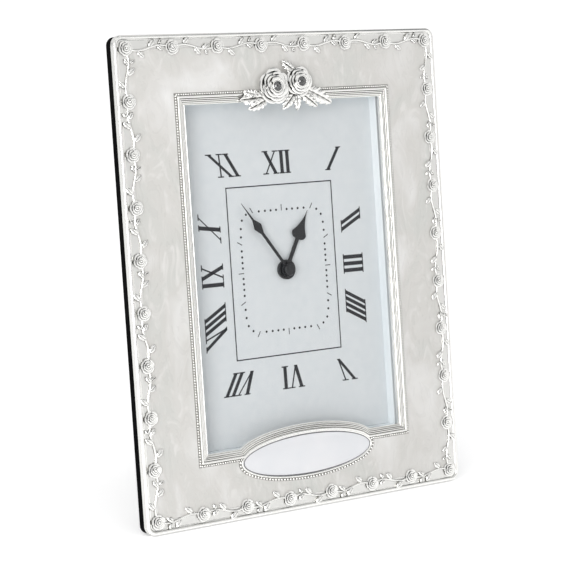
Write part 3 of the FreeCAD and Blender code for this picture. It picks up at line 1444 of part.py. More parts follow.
cell_foot = FreeCAD.Vector(cell_start, cell_depth, bay_up)
cell_way = FreeCAD.Vector(1, 0, 0)
cell_body = Part.makeCylinder(mm("cellRadius"), mm("cellLength"), cell_foot, cell_way)
nub = Part.makeCylinder(mm("nubRadius"), mm("cellLength") + mm("nubLength"), cell_foot, cell_way)
show("battery", cell_body.fuse(nub).removeSplitter())

plus = new_body("contact_positive")
add_plate(
    plus, "leaf", "Sizes.contactDepth", "Sizes.contactWidth", "Sizes.contactThickness", "Sizes.contactHeight",
    "(Sizes.caseBore - Sizes.contactThickness) / 2", "Sizes.bayUp",
)
minus = new_body("contact_negative")
spring = new_sketch(minus, "leaf", "Sizes.contactDepth")
wall_x = "-Sizes.caseBore / 2"
tip_x = f"{wall_x} + Sizes.springReach"
draw_outline(spring, [
    (wall_x, "Sizes.bayUp - Sizes.contactHeight / 2"),
    (f"{wall_x} + Sizes.contactThickness", "Sizes.bayUp - Sizes.contactHeight / 2"),
    (tip_x, "Sizes.bayUp - Sizes.contactThickness"),
    (tip_x, "Sizes.bayUp + Sizes.contactThickness"),
    (f"{wall_x} + Sizes.contactThickness", "Sizes.bayUp + Sizes.contactHeight / 2"),
    (wall_x, "Sizes.bayUp + Sizes.contactHeight / 2"),
    (wall_x, "Sizes.bayUp + Sizes.contactHeight / 2 - 2 * Sizes.contactThickness"),
    (f"{tip_x} - 2 * Sizes.contactThickness", "Sizes.bayUp"),
    (wall_x, "Sizes.bayUp - Sizes.contactHeight / 2 + 2 * Sizes.contactThickness"),
])
pad(minus, spring, "Sizes.contactWidth")


# Hands, drawn pointing up from the arbor and then turned to the time shown

def hand_blade(runs, hub, front):
    """A flat blade on a hub; its right side is given from foot to tip in straight and curved runs."""
    edges = []
    for side in (1, -1):
        for run in runs:
            points = [FreeCAD.Vector(side * x, 0, z) for x, z in run]
            if len(points) > 2:
                edges.append(Part.Arc(*points).toShape())
            else:
                edges.append(Part.makeLine(*points))
    foot_x, foot_z = runs[0][0]
    edges.append(Part.makeLine(FreeCAD.Vector(-foot_x, 0, foot_z), FreeCAD.Vector(foot_x, 0, foot_z)))
    outline = Part.Wire(Part.__sortEdges__(edges))
    blade = thicken(Part.Face(outline), front, front + mm("handThickness"))
    return blade.fuse(drum(hub, front, front + mm("handThickness")))


def make_hand(runs, hub, hub_front, bore, angle):
    """Blade and collar, bored for the shaft and turned clockwise by an angle."""
    blade_front = hub_front + (mm("handHeight") - mm("handThickness")) / 2
    solid = hand_blade(runs, hub, blade_front)
    solid = solid.fuse(drum(hub, hub_front, hub_front + mm("handHeight")))
    solid = solid.cut(drum(bore, hub_front - mm("overrun"), hub_front + mm("handHeight") + mm("overrun")))
    solid = solid.removeSplitter()
    solid.rotate(FreeCAD.Vector(), BACK, angle)
    return at_spot(solid, axis_spot)


hour_length = mm("hourLength")
hour_stem = mm("hourStem")
hour_bulb = mm("hourBulb")
stem_share = 0.52
round_shares = (0.83, 0.545)
bulb_share = 0.61
hollow_shares = (0.36, 0.76)
stem_top = (hour_stem, hour_length * stem_share)
bulb_spot = (hour_bulb, hour_length * bulb_share)
hour_runs = [
    [(hour_stem, 0.0), stem_top],
    [stem_top, (hour_bulb * round_shares[0], hour_length * round_shares[1]), bulb_spot],
    [bulb_spot, (hour_bulb * hollow_shares[0], hour_length * hollow_shares[1]), (0.0, hour_length)],
]
minute_length = mm("minuteLength")
lozenge_shares = (0.55, 0.65, 0.75)
lozenge = [
    (half_width, minute_length * share)
    for half_width, share in zip((mm("minuteStem"), mm("minuteBulb"), mm("minuteNeedle")), lozenge_shares)
]
minute_runs = [
    [(mm("minuteStem"), 0.0), lozenge[0]],
    [lozenge[0], lozenge[1]],
    [lozenge[1], lozenge[2]],
    [lozenge[2], (0.0, minute_length)],
]
pipe_bore = mm("pipeRadius") + mm("seatClearance") / 2
arbor_bore = mm("arborRadius") + mm("seatClearance") / 2
show("hour_hand", make_hand(hour_runs, mm("hourHubRadius"), hour_hub_front, pipe_bore, mm("hourAngle")))
show("minute_hand", make_hand(
    minute_runs, mm("minuteHubRadius"), minute_hub_front, arbor_bore, mm("minuteAngle")
))
cap_disc = drum(mm("capRadius"), minute_hub_front - mm("capHeight"), minute_hub_front)
cap_edge = min(cap_disc.Edges, key=lambda edge: edge.CenterOfMass.y)
show("hand_cap", at_spot(cap_disc.makeFillet(mm("capRound"), [cap_edge]), axis_spot))

# Lean everything back, swing the leg out and set the origin under the middle of the box

doc.recompute()
lean_turn = FreeCAD.Placement(FreeCAD.Vector(), FreeCAD.Rotation(FreeCAD.Vector(1, 0, 0), -mm("leanAngle")))
hinge_point = FreeCAD.Vector(0, hinge_depth, mm("hingeRise"))
leg_turn = FreeCAD.Placement(
    FreeCAD.Vector(), FreeCAD.Rotation(FreeCAD.Vector(1, 0, 0), mm("strutAngle")), hinge_point
)
for piece in finished:
    own_turn = lean_turn * leg_turn if piece in leg_pieces else lean_turn
    piece.Placement = own_turn * piece.Placement
limits = [piece.Shape.optimalBoundingBox(False, False) for piece in finished]
low = FreeCAD.Vector(
    min(box.XMin for box in limits), min(box.YMin for box in limits), min(box.ZMin for box in limits)
)
high = FreeCAD.Vector(
    max(box.XMax for box in limits), max(box.YMax for box in limits), max(box.ZMax for box in limits)
)
middle = (low + high) / 2
shift = FreeCAD.Placement(FreeCAD.Vector(-middle.x, -middle.y, -low.z), FreeCAD.Rotation())
for piece in finished:
    piece.Placement = shift * piece.Placement
doc.recompute()

# Check and write

for item in doc.Objects:
    if "Invalid" in item.State or "Error" in item.State:
        raise ValueError(f"{item.Name} did not recompute: {item.State}")
os.makedirs("parts", exist_ok=True)
for piece in finished:
    if piece.Shape.isNull() or not piece.Shape.isValid() or not piece.Shape.Solids:
        raise ValueError(f"{piece.Label} has no valid shape")
    piece.Shape.exportStep(f"parts/{piece.Label}.step")
    print(piece.Label, len(piece.Shape.Solids), round(piece.Shape.Volume, 2))


def on_ground(x, y, z):
    """Where a point of the upright frame ends up."""
    point = shift.multVec(lean_turn.multVec(FreeCAD.Vector(x, y, z)))
    return [round(value, 4) for value in point]


print("size", [round(value, 3) for value in high.sub(low)])
print("arbor", on_ground(axis_spot[0], mm("dialDepth"), axis_spot[1]))
print("motion", on_ground(motion_spot[0], level(MOTION), motion_spot[1]))
print("setting", on_ground(setting_spot[0], level(MOTION), setting_spot[1]))
print("third", on_ground(third_spot[0], level(THIRD), third_spot[1]))
print("intermediate", on_ground(between_spot[0], level(BETWEEN), between_spot[1]))
print("rotor", on_ground(rotor_spot[0], level(BETWEEN), rotor_spot[1]))
print("hinge", on_ground(0, hinge_depth, mm("hingeRise")))
for place, across, up, inward, rise in BUTTON_PLACES:
    spot_x = -inward * button_across
    print("button", place, on_ground(spot_x, button_front, rise * button_up))
foot = shift.multVec(lean_turn.multVec(leg_turn.multVec(FreeCAD.Vector(
    0, leaf_back + mm("legThickness") / 2, mm("hingeRise") - (foot_front + foot_back) / 2
))))
print("foot", [round(value, 4) for value in foot])
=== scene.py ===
import json
import math

import bmesh
import bpy
from mathutils import Matrix, Vector


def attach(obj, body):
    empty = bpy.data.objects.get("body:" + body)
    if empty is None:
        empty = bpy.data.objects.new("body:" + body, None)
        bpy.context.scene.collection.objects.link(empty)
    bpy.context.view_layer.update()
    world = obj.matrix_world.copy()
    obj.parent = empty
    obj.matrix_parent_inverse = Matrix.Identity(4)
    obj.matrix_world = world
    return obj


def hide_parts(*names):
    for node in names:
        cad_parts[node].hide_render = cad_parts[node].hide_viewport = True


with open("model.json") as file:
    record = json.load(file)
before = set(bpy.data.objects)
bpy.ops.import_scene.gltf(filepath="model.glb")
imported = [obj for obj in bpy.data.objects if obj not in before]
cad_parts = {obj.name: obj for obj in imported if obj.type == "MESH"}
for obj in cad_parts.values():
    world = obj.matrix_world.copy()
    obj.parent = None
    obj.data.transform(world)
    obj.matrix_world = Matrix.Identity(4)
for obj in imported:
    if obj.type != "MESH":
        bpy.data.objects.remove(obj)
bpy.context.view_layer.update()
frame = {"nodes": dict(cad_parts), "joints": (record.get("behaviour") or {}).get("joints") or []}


# Camera, floor and studio light
# The frame stands on a pale floor, seen from its left and a little above, under soft light.
# A drawing made in plate millimetres is leaned back and set in place by the matrix upright.

LEAN = math.radians(8.0)
PLATE_WIDTH = 156.0
DIAL_DEPTH = 8.4
DIAL_RISE = 0.6
CAMERA_SPOT = Vector((-2.70267538, -4.13613376, 0.30994304))
CAMERA_LOOK = Vector((0.53881447, 0.83970523, -0.0676321))
CAMERA_OVERHEAD = Vector((0.0909596, 0.02182339, 0.99561543))
CAMERA_LENS = 119.6
CAMERA_SENSOR = 36.0
CAMERA_REACH = 200.0
FLOOR_REACH = 40.0
FLOOR_GLOW = 0.42
STUDIO_SHADES = ((0.36, (0.22, 0.23, 0.24)), (0.46, (1, 1, 1)))
STUDIO_STRENGTH = 0.9
leaning = Matrix.Rotation(-LEAN, 4, "X")
spindle = Vector(next(joint["pos_m"] for joint in frame["joints"] if joint["name"] == "minute_spin"))
plate_middle = spindle - leaning @ Vector((0, DIAL_DEPTH, DIAL_RISE)) / 1000
upright = Matrix.Translation(plate_middle) @ leaning @ Matrix.Scale(0.001, 4)

eye = upright @ (CAMERA_SPOT * PLATE_WIDTH)
look = leaning @ CAMERA_LOOK
overhead = leaning @ CAMERA_OVERHEAD
sideways = look.cross(overhead).normalized()
camera_data = bpy.data.cameras.new("camera")
camera_data.lens = CAMERA_LENS
camera_data.sensor_width = CAMERA_SENSOR
camera_data.clip_end = CAMERA_REACH
camera = bpy.data.objects.new("camera", camera_data)
camera.matrix_world = Matrix.Translation(eye) @ Matrix((
    (sideways.x, overhead.x, -look.x, 0),
    (sideways.y, overhead.y, -look.y, 0),
    (sideways.z, overhead.z, -look.z, 0),
    (0, 0, 0, 1),
))
bpy.context.scene.collection.objects.link(camera)
bpy.context.scene.camera = camera
bpy.context.scene.view_settings.view_transform = "Standard"


def new_finish(name, colour, rough, metal=0.0):
    """A finish with one shader, ready for its pattern."""
    finish = bpy.data.materials.new(name)
    finish.use_nodes = True
    shader = finish.node_tree.nodes["Principled BSDF"]
    shader.inputs["Base Color"].default_value = (*colour, 1)
    shader.inputs["Roughness"].default_value = rough
    shader.inputs["Metallic"].default_value = metal
    return finish, finish.node_tree, shader


def tint(tree, factor, stops, socket, steps="LINEAR"):
    """Colours that follow a factor, each given with its place on the scale."""
    ramp = tree.nodes.new("ShaderNodeValToRGB")
    bar = ramp.color_ramp
    bar.interpolation = steps
    while len(bar.elements) < len(stops):
        bar.elements.new(0.5)
    for stop, (position, colour) in zip(bar.elements, stops):
        stop.position = position
        stop.color = (*colour, 1)
    tree.links.new(factor, ramp.inputs["Fac"])
    tree.links.new(ramp.outputs["Color"], socket)


def hang_lamp(name, spot, aim, width, power):
    """A soft square lamp turned towards a point."""
    light = bpy.data.lights.new(name, "AREA")
    light.size = width
    light.energy = power
    lamp = bpy.data.objects.new(name, light)
    turned = (Vector(aim) - Vector(spot)).to_track_quat("-Z", "Y")
    lamp.matrix_world = Matrix.Translation(spot) @ turned.to_matrix().to_4x4()
    bpy.context.scene.collection.objects.link(lamp)


hang_lamp("window_light", (-1.15, -1.0, 0.5), (0, 0, 0.08), 0.6, 6.0)
hang_lamp("low_light", (-0.55, -0.5, 0.06), (-0.02, 0, 0.03), 0.3, 1.3)

floor_bm = bmesh.new()
bmesh.ops.create_grid(floor_bm, x_segments=8, y_segments=8, size=FLOOR_REACH)
floor_mesh = bpy.data.meshes.new("studio_floor")
floor_bm.to_mesh(floor_mesh)
floor_bm.free()
floor = bpy.data.objects.new("studio_floor", floor_mesh)
bpy.context.scene.collection.objects.link(floor)
floor_finish, tree, shader = new_finish("floor_paper", (0.9, 0.9, 0.9), 0.9)
shader.inputs["Emission Color"].default_value = (1, 1, 1, 1)
rays = tree.nodes.new("ShaderNodeLightPath")
seen = rays.outputs["Is Camera Ray"]
for ray in ("Is Glossy Ray", "Is Transmission Ray"):
    either = tree.nodes.new("ShaderNodeMath")
    either.operation = "MAXIMUM"
    tree.links.new(seen, either.inputs[0])
    tree.links.new(rays.outputs[ray], either.inputs[1])
    seen = either.outputs[0]
glow = tree.nodes.new("ShaderNodeMath")
glow.operation = "MULTIPLY"
glow.inputs[1].default_value = FLOOR_GLOW
tree.links.new(seen, glow.inputs[0])
tree.links.new(glow.outputs[0], shader.inputs["Emission Strength"])
floor_mesh.materials.append(floor_finish)

studio = bpy.data.worlds.new("studio")
bpy.context.scene.world = studio
studio.use_nodes = True
tree = studio.node_tree
direction = tree.nodes.new("ShaderNodeTexCoord")
screens = tree.nodes.new("ShaderNodeTexNoise")
screens.inputs["Scale"].default_value = 1.9
screens.inputs["Detail"].default_value = 0.0
tree.links.new(direction.outputs["Generated"], screens.inputs["Vector"])
background = tree.nodes["Background"]
tint(tree, screens.outputs["Fac"], STUDIO_SHADES, background.inputs["Color"])
background.inputs["Strength"].default_value = STUDIO_STRENGTH


# Front casting
# One silver-plated casting: a flat front with a fine satin ground, a slim rolled rim and a side
# flange. The rim is drawn again here as a smooth roll, which lies on the casting all round.

PLATE_HEIGHT = 197.0
CORNER_RADIUS = 4.0
SILVER = (0.94, 0.935, 0.91)
SATIN_SILVER = (0.82, 0.815, 0.79)
# Near black, painted into the silver's hollows as shade.
PAINTED_HOLLOW_SHADE = (0.05, 0.048, 0.043)


def grain(tree, size, detail=3.0, stretch=(1, 1, 1), distortion=0.0):
    """Noise that sits in the piece, with features of a size in millimetres."""
    place = tree.nodes.new("ShaderNodeTexCoord")
    fit = tree.nodes.new("ShaderNodeMapping")
    fit.inputs["Rotation"].default_value = (LEAN, 0, 0)
    fit.inputs["Scale"].default_value = [1000 / size * share for share in stretch]
    noise = tree.nodes.new("ShaderNodeTexNoise")
    noise.inputs["Scale"].default_value = 1.0
    noise.inputs["Detail"].default_value = detail
    noise.inputs["Distortion"].default_value = distortion
    tree.links.new(place.outputs["Object"], fit.inputs["Vector"])
    tree.links.new(fit.outputs["Vector"], noise.inputs["Vector"])
    return noise.outputs["Fac"]


def polish(tree, shader, factor, low, high):
    """Roughness that follows a factor."""
    span = tree.nodes.new("ShaderNodeMapRange")
    span.inputs["From Min"].default_value = 0.3
    span.inputs["From Max"].default_value = 0.7
    span.inputs["To Min"].default_value = low
    span.inputs["To Max"].default_value = high
    tree.links.new(factor, span.inputs["Value"])
    tree.links.new(span.outputs["Result"], shader.inputs["Roughness"])


def relief(tree, shader, factor, height):
    """Fine surface height in millimetres."""
    bump = tree.nodes.new("ShaderNodeBump")
    bump.inputs["Distance"].default_value = height / 1000
    bump.inputs["Strength"].default_value = 1.0
    tree.links.new(factor, bump.inputs["Height"])
    tree.links.new(bump.outputs["Normal"], shader.inputs["Normal"])


def silver_finish(name, colour, reach, full_shade_below, unshaded_above, low, high, grain_size, height):
    """Silver plate with painted shade in its hollows, where ambient occlusion finds them closed in; reach is
    how wide a hollow is, in millimetres.
    """
    finish, tree, shader = new_finish(name, colour, low, 1.0)
    # Painted shade: the base colour falls to near black where a hollow is closed in.
    hollow = tree.nodes.new("ShaderNodeAmbientOcclusion")
    hollow.samples = 6
    hollow.inputs["Distance"].default_value = reach / 1000
    stops = ((full_shade_below, PAINTED_HOLLOW_SHADE), (unshaded_above, colour))
    tint(tree, hollow.outputs["AO"], stops, shader.inputs["Base Color"])
    surface = grain(tree, grain_size)
    polish(tree, shader, surface, low, high)
    relief(tree, shader, surface, height)
    return finish


def dress(node, finish):
    """Give a piece of the frame its finish."""
    slots = frame["nodes"][node].material_slots
    for slot in slots:
        slot.material = finish
    if not slots:
        frame["nodes"][node].data.materials.append(finish)


def set_piece(name, bm, finish, body, stands_for=(), crease=38.0):
    """Lean a drawing in plate millimetres back with the frame and hang it on a body.

    Edges sharper than the crease, in degrees, are shaded sharp.
    """
    bmesh.ops.transform(bm, matrix=upright, verts=bm.verts)
    bm.normal_update()
    for face in bm.faces:
        face.smooth = True
    for edge in bm.edges:
        edge.smooth = len(edge.link_faces) != 2 or edge.calc_face_angle() < math.radians(crease)
    mesh = bpy.data.meshes.new(name)
    bm.to_mesh(mesh)
    bm.free()
    piece = bpy.data.objects.new(name, mesh)
    bpy.context.scene.collection.objects.link(piece)
    mesh.materials.append(finish)
    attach(piece, body)
    if stands_for:
        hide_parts(*stands_for)


def flat_face(bm, outline, depth=0.0):
    """A face that looks forward, from points given anticlockwise as seen from the front."""
    face = bm.faces.new([bm.verts.new((x, depth, z)) for x, z in outline])
    face.normal_update()
    return face


def step_inwards(bm, face, steps):
    """Draw a face inwards step by step; a step is (inset, lift)."""
    for inset, lift in steps:
        bmesh.ops.inset_region(
            bm, faces=[face], thickness=inset, depth=lift, use_boundary=True, use_even_offset=True,
        )


def swept_frame(bm, outline, profile):
    """A moulding with mitred corners: the profile runs inwards from the outline, as (inset, height)."""
    middle = flat_face(bm, outline, -profile[0][1])
    step_inwards(bm, middle, [(b[0] - a[0], b[1] - a[1]) for a, b in zip(profile, profile[1:])])
    bmesh.ops.delete(bm, geom=[middle], context="FACES_ONLY")


def rounded_outline(half_width, half_height, radius, steps):
    """The outline of a plate with rounded corners."""
    points = []
    for quarter, (side_x, side_z) in enumerate(((1, 1), (-1, 1), (-1, -1), (1, -1))):
        for step in range(steps + 1):
            angle = math.pi / 2 * (quarter + step / steps)
            points.append((
                side_x * (half_width - radius) + radius * math.cos(angle),
                side_z * (half_height - radius) + radius * math.sin(angle),
            ))
    return points


# Both silver finishes carry painted shade in their hollows.
ground_silver = silver_finish(
    "satin_silver", SATIN_SILVER, reach=0.7, full_shade_below=0.15, unshaded_above=0.70,
    low=0.30, high=0.46, grain_size=0.5, height=0.02,
)
bright_silver = silver_finish(
    "polished_silver", SILVER, reach=0.6, full_shade_below=0.15, unshaded_above=0.60,
    low=0.12, high=0.22, grain_size=1.5, height=0.01,
)
dress("frame_shell", ground_silver)

RIM_PROFILE = (
    (0.0, -1.98), (0.01, -0.45), (0.08, -0.12), (0.22, 0.16), (0.4, 0.39), (0.65, 0.56), (0.95, 0.62),
    (1.25, 0.57), (1.5, 0.42), (1.68, 0.22), (1.8, 0.06), (1.95, 0.03), (2.2, 0.02),
)
bm = bmesh.new()
swept_frame(bm, rounded_outline(PLATE_WIDTH / 2, PLATE_HEIGHT / 2, CORNER_RADIUS, 8), RIM_PROFILE)
set_piece("rolled_rim", bm, bright_silver, "frame")


# Garland of roses
# Thirty-two small roses at equal steps round the border, joined by a wavy vine with leaves on
# both sides, cast in relief with the front and polished on its high points, with painted shade in its
# hollows.

GARLAND_INSET = 5.2
ROSE_COLUMNS = 8
ROSE_ROWS = 10
BORDER_ROSE = 3.1
BORDER_ROSE_RISE = 1.5
BORDER_RINGS = (
    (5, 0.5, 1.0, 0.30, 0.56, 86), (4, 0.25, 0.70, 0.50, 0.84, 108), (3, 0.06, 0.42, 0.72, 1.06, 136),
)
VINE_RADIUS = 0.46
VINE_SWING = 1.1
VINE_LIFT = 0.42
VINE_POINTS = (0.0, 0.14, 0.28, 0.42, 0.56, 0.70, 0.84, 1.0)
# A leaf is its place along the vine, its side, its lean and its size.
VINE_LEAVES = ((0.25, 1, 42, 1.0), (0.50, -1, 50, 1.0), (0.68, 1, 38, 0.8), (0.72, -1, 60, 0.6))
LEAF_LENGTH = 3.9
LEAF_WIDTH = 2.2
LEAF_RISE = 0.9
PETAL_ROUNDING = 0.16
PETAL_ROLL = 0.76
PETAL_TILT = 0.10
PETAL_STAGGER = 0.63
PETAL_THICKNESS = 0.05
HEART_RADIUS = 0.17
HEART_RISE = 0.92
BED_FOOT = 0.8
BED_TOP = 0.3
BED_DEPTH = 0.7
BED_RISE = 0.3
SAW_DEPTH = 0.30
VEIN_DEPTH = 0.42
VEIN_WIDTH = 0.14
RIB_DEPTH = 0.34


def shape_petal(bm, middle, ring, radius, rise, start, across, up):
    """One petal: a small sheet that lies over the ring outside it, its lip rolled back."""
    inner, outer, low, high, sweep = ring
    for vert in bmesh.ops.create_grid(bm, x_segments=across, y_segments=up, size=1.0)["verts"]:
        side = vert.co.x
        share = (vert.co.y + 1) / 2
        angle = start + math.radians(sweep) * side / 2
        edge = outer * (1 - PETAL_ROUNDING * abs(side) ** 3)
        reach = radius * (inner + (edge - inner) * share)
        roll = math.sin(share * PETAL_ROLL * math.pi)
        front = rise * (low + (high - low) * roll + PETAL_TILT * side * share)
        vert.co = middle + Vector((reach * math.cos(angle), -front, reach * math.sin(angle)))


def shape_rose(bm, middle, radius, rise, rings, fineness, turn, heart):
    """A full-blown rose of rings of petals; a ring is (petals, inner, outer, low, high, sweep)."""
    rose = bmesh.new()
    across, up = fineness
    for number, (petals, *ring) in enumerate(rings):
        for petal in range(petals):
            start = turn + 2 * math.pi * (petal + PETAL_STAGGER * number) / petals
            shape_petal(rose, middle, ring, radius, rise, start, across, up)
    bmesh.ops.recalc_face_normals(rose, faces=rose.faces)
    bmesh.ops.solidify(rose, geom=rose.faces[:], thickness=radius * PETAL_THICKNESS)
    if heart:
        bud = bmesh.ops.create_uvsphere(rose, u_segments=10, v_segments=6, radius=radius * HEART_RADIUS)
        for vert in bud["verts"]:
            vert.co = middle + Vector((vert.co.x, vert.co.z - rise * HEART_RISE, vert.co.y))
    bed = bmesh.ops.create_cone(
        rose, cap_ends=True, segments=20, radius1=radius * BED_FOOT, radius2=radius * BED_TOP,
        depth=rise * BED_DEPTH,
    )["verts"]
    for vert in bed:
        vert.co = middle + Vector((vert.co.x, -vert.co.z - rise * BED_RISE, vert.co.y))
    bmesh.ops.recalc_face_normals(rose, faces=rose.faces)
    join_into(bm, rose)


def join_into(bm, other):
    """Add one drawing to another."""
    carrier = bpy.data.meshes.new("carrier")
    other.to_mesh(carrier)
    other.free()
    bm.from_mesh(carrier)
    bpy.data.meshes.remove(carrier)


def shape_leaf(bm, root, angle, length, width, rise, teeth, fineness, thickness):
    """A pointed leaf from its root at an angle, with a saw edge, a middle vein and side veins."""
    leaf = bmesh.new()
    across, up = fineness
    sheet = bmesh.ops.create_grid(leaf, x_segments=across, y_segments=up, size=1.0)["verts"]
    way = Vector((math.cos(angle), 0, math.sin(angle)))
    aside = Vector((-math.sin(angle), 0, math.cos(angle)))
    for vert in sheet:
        along = (vert.co.x + 1) / 2
        side = vert.co.y
        belly = 0.09 + 0.91 * max(math.sin(math.pi * along ** 0.85), 0.0) ** 0.7
        saw = 1 - SAW_DEPTH * ((along * teeth) % 1.0) * side * side
        vein = VEIN_DEPTH * math.exp(-(side / VEIN_WIDTH) ** 2)
        rib = RIB_DEPTH * abs(side) * math.cos(2 * math.pi * (along * teeth - 0.8 * abs(side)))
        front = rise * (0.35 + 0.65 * math.sin(math.pi * along) ** 0.7) * (1 - 0.35 * side * side)
        spread = width / 2 * belly * saw * side
        vert.co = root + way * (length * along) + aside * spread - Vector((0, front * (1 - vein + rib), 0))
    bmesh.ops.recalc_face_normals(leaf, faces=leaf.faces)
    bmesh.ops.solidify(leaf, geom=leaf.faces[:], thickness=thickness)
    bmesh.ops.recalc_face_normals(leaf, faces=leaf.faces)
    join_into(bm, leaf)


# Painted shade darkens the hollows between petals, leaves and vine.
garland_silver = silver_finish(
    "relief_silver", SILVER, reach=0.55, full_shade_below=0.46, unshaded_above=0.84,
    low=0.14, high=0.26, grain_size=0.9, height=0.01,
)
half_across = PLATE_WIDTH / 2 - GARLAND_INSET
half_up = PLATE_HEIGHT / 2 - GARLAND_INSET
GARLAND_SIDES = (
    ((-half_across, half_up), (1, 0), 2 * half_across / (ROSE_COLUMNS - 1), ROSE_COLUMNS - 1),
    ((half_across, half_up), (0, -1), 2 * half_up / (ROSE_ROWS - 1), ROSE_ROWS - 1),
    ((half_across, -half_up), (-1, 0), 2 * half_across / (ROSE_COLUMNS - 1), ROSE_COLUMNS - 1),
    ((-half_across, -half_up), (0, 1), 2 * half_up / (ROSE_ROWS - 1), ROSE_ROWS - 1),
)
bm = bmesh.new()
vine_line = bpy.data.curves.new("vine_line", "CURVE")
vine_line.dimensions = "3D"
vine_line.bevel_depth = VINE_RADIUS
vine_line.bevel_resolution = 2
vine_line.resolution_u = 6
number = 0
for (corner_x, corner_z), (way_x, way_z), step, count in GARLAND_SIDES:
    way = Vector((way_x, 0, way_z))
    inward = Vector((way_z, 0, -way_x))
    heading = math.atan2(way_z, way_x)
    for place in range(count):
        rose_spot = Vector((corner_x, 0.1, corner_z)) + way * (step * place)
        number += 1
        sway = 1 if number % 2 else -1
        shape_rose(bm, rose_spot, BORDER_ROSE, BORDER_ROSE_RISE, BORDER_RINGS, (6, 4), 0.9 * number, True)
        wave = vine_line.splines.new("NURBS")
        wave.points.add(len(VINE_POINTS) - 1)
        for point, share in zip(wave.points, VINE_POINTS):
            swing = inward * (sway * VINE_SWING * math.sin(2 * math.pi * share))
            here = rose_spot + way * (step * share) + swing
            point.co = (here.x, here.y - VINE_LIFT, here.z, 1)
        wave.order_u = 3
        wave.use_endpoint_u = True
        for share, hand, lean_out, size in VINE_LEAVES:
            side = sway * hand
            curve = sway * VINE_SWING * math.sin(2 * math.pi * share)
            root = rose_spot + way * (step * share) + inward * (curve + side * 0.25) - Vector((0, 0.1, 0))
            angle = heading - side * math.radians(lean_out)
            shape_leaf(
                bm, root, angle, LEAF_LENGTH * size, LEAF_WIDTH * size, LEAF_RISE,
                teeth=2.0, fineness=(8, 6), thickness=0.25,
            )
vine_object = bpy.data.objects.new("vine_line", vine_line)
vine_mesh = bpy.data.meshes.new_from_object(vine_object)
bm.from_mesh(vine_mesh)
bpy.data.meshes.remove(vine_mesh)
bpy.data.objects.remove(vine_object)
bpy.data.curves.remove(vine_line)
set_piece("rose_garland", bm, garland_silver, "frame", ("rose_vine_border",), 70.0)


# Enamel
# Pearl enamel poured between the garland and the beading, level with the silver. It is marbled
# with green-grey and pinkish clouds that lighten to white, and with pale swirls, under a clear
# gloss.

CLOUD_COLOURS = ((0.34, (0.645, 0.645, 0.615)), (0.5, (0.675, 0.66, 0.63)), (1.0, (1, 1, 1)))
SWIRL_COLOUR = (0.77, 0.755, 0.73, 1)
pearl, tree, shader = new_finish("pearl_enamel", (0.70, 0.68, 0.65), 0.3)
clouds = grain(tree, 26.0, 3.0, (1, 1, 0.6), 1.2)
swirls = grain(tree, 9.0, 4.0, (1.2, 1, 0.55), 2.4)
swirl_share = tree.nodes.new("ShaderNodeMapRange")
swirl_share.inputs["From Min"].default_value = 0.56
swirl_share.inputs["From Max"].default_value = 0.72
tree.links.new(swirls, swirl_share.inputs["Value"])
mixing = tree.nodes.new("ShaderNodeMix")
mixing.data_type = "RGBA"
tree.links.new(swirl_share.outputs["Result"], mixing.inputs["Factor"])
tint(tree, clouds, CLOUD_COLOURS, mixing.inputs["A"])
mixing.inputs["B"].default_value = SWIRL_COLOUR
tree.links.new(mixing.outputs["Result"], shader.inputs["Base Color"])
polish(tree, shader, swirls, 0.22, 0.38)
shader.inputs["Coat Weight"].default_value = 0.5
shader.inputs["Coat Roughness"].default_value = 0.06
dress("enamel_inlay", pearl)


# Inner bezel
# A ridged moulding that falls from its crest to the glass, mitred at the corners, with an arch
# over the oval. It is cast in silver plate, and painted shade darkens its grooves.

OPENING_RISE = 0.2
BEZEL_HALF_WIDTH = 51.3
BEZEL_HALF_HEIGHT = 73.8
OVAL_DROP = 76.0
OVAL_HALF_WIDTH = 31.65
OVAL_HALF_HEIGHT = 8.35
ARCH_GROW = 0.55
ARCH_STEPS = 44
ARCH_JOIN = 4
OVAL_STEPS = 96
OVAL_RIM_GROW = 1.0
OVAL_RIM_PROFILE = (
    (0.0, 0.0), (0.08, 0.34), (0.25, 0.52), (0.5, 0.58), (0.75, 0.48), (0.92, 0.3), (1.0, 0.1), (1.04, -0.1),
)
BEZEL_PROFILE = (
    (0.0, 0.0), (0.05, 0.42), (0.16, 0.72), (0.36, 0.88), (0.6, 0.92), (0.84, 0.84), (1.0, 0.6), (1.08, 0.28),
    (1.16, 0.12), (1.24, 0.3), (1.36, 0.5), (1.52, 0.56), (1.68, 0.48), (1.78, 0.22), (1.85, -0.06),
    (1.92, 0.08), (2.04, 0.26), (2.2, 0.3), (2.36, 0.2), (2.46, -0.08), (2.54, -0.3), (2.62, -0.16),
    (2.74, -0.02), (2.9, 0.0), (3.06, -0.1), (3.18, -0.36), (3.26, -0.58), (3.36, -0.46), (3.5, -0.38),
    (3.64, -0.44), (3.75, -0.7), (3.8, -1.0), (3.805, -1.6),
)


def oval_outline(grow, first, last, steps):
    """Points of the oval, made larger all round, between two angles."""
    points = []
    for step in range(steps + 1):
        angle = first + (last - first) * step / steps
        points.append((
            (OVAL_HALF_WIDTH + grow) * math.cos(angle),
            (OVAL_HALF_HEIGHT + grow) * math.sin(angle) - OVAL_DROP,
        ))
    return points


def whole_oval(grow):
    """Points all round the oval, made larger all round."""
    return oval_outline(grow, 0, 2 * math.pi * (OVAL_STEPS - 1) / OVAL_STEPS, OVAL_STEPS - 1)


def meeting_angle(rise, grow):
    """The angle on the oval, made larger all round, at which a level line meets it."""
    return math.asin((rise + OVAL_DROP) / (OVAL_HALF_HEIGHT + grow))


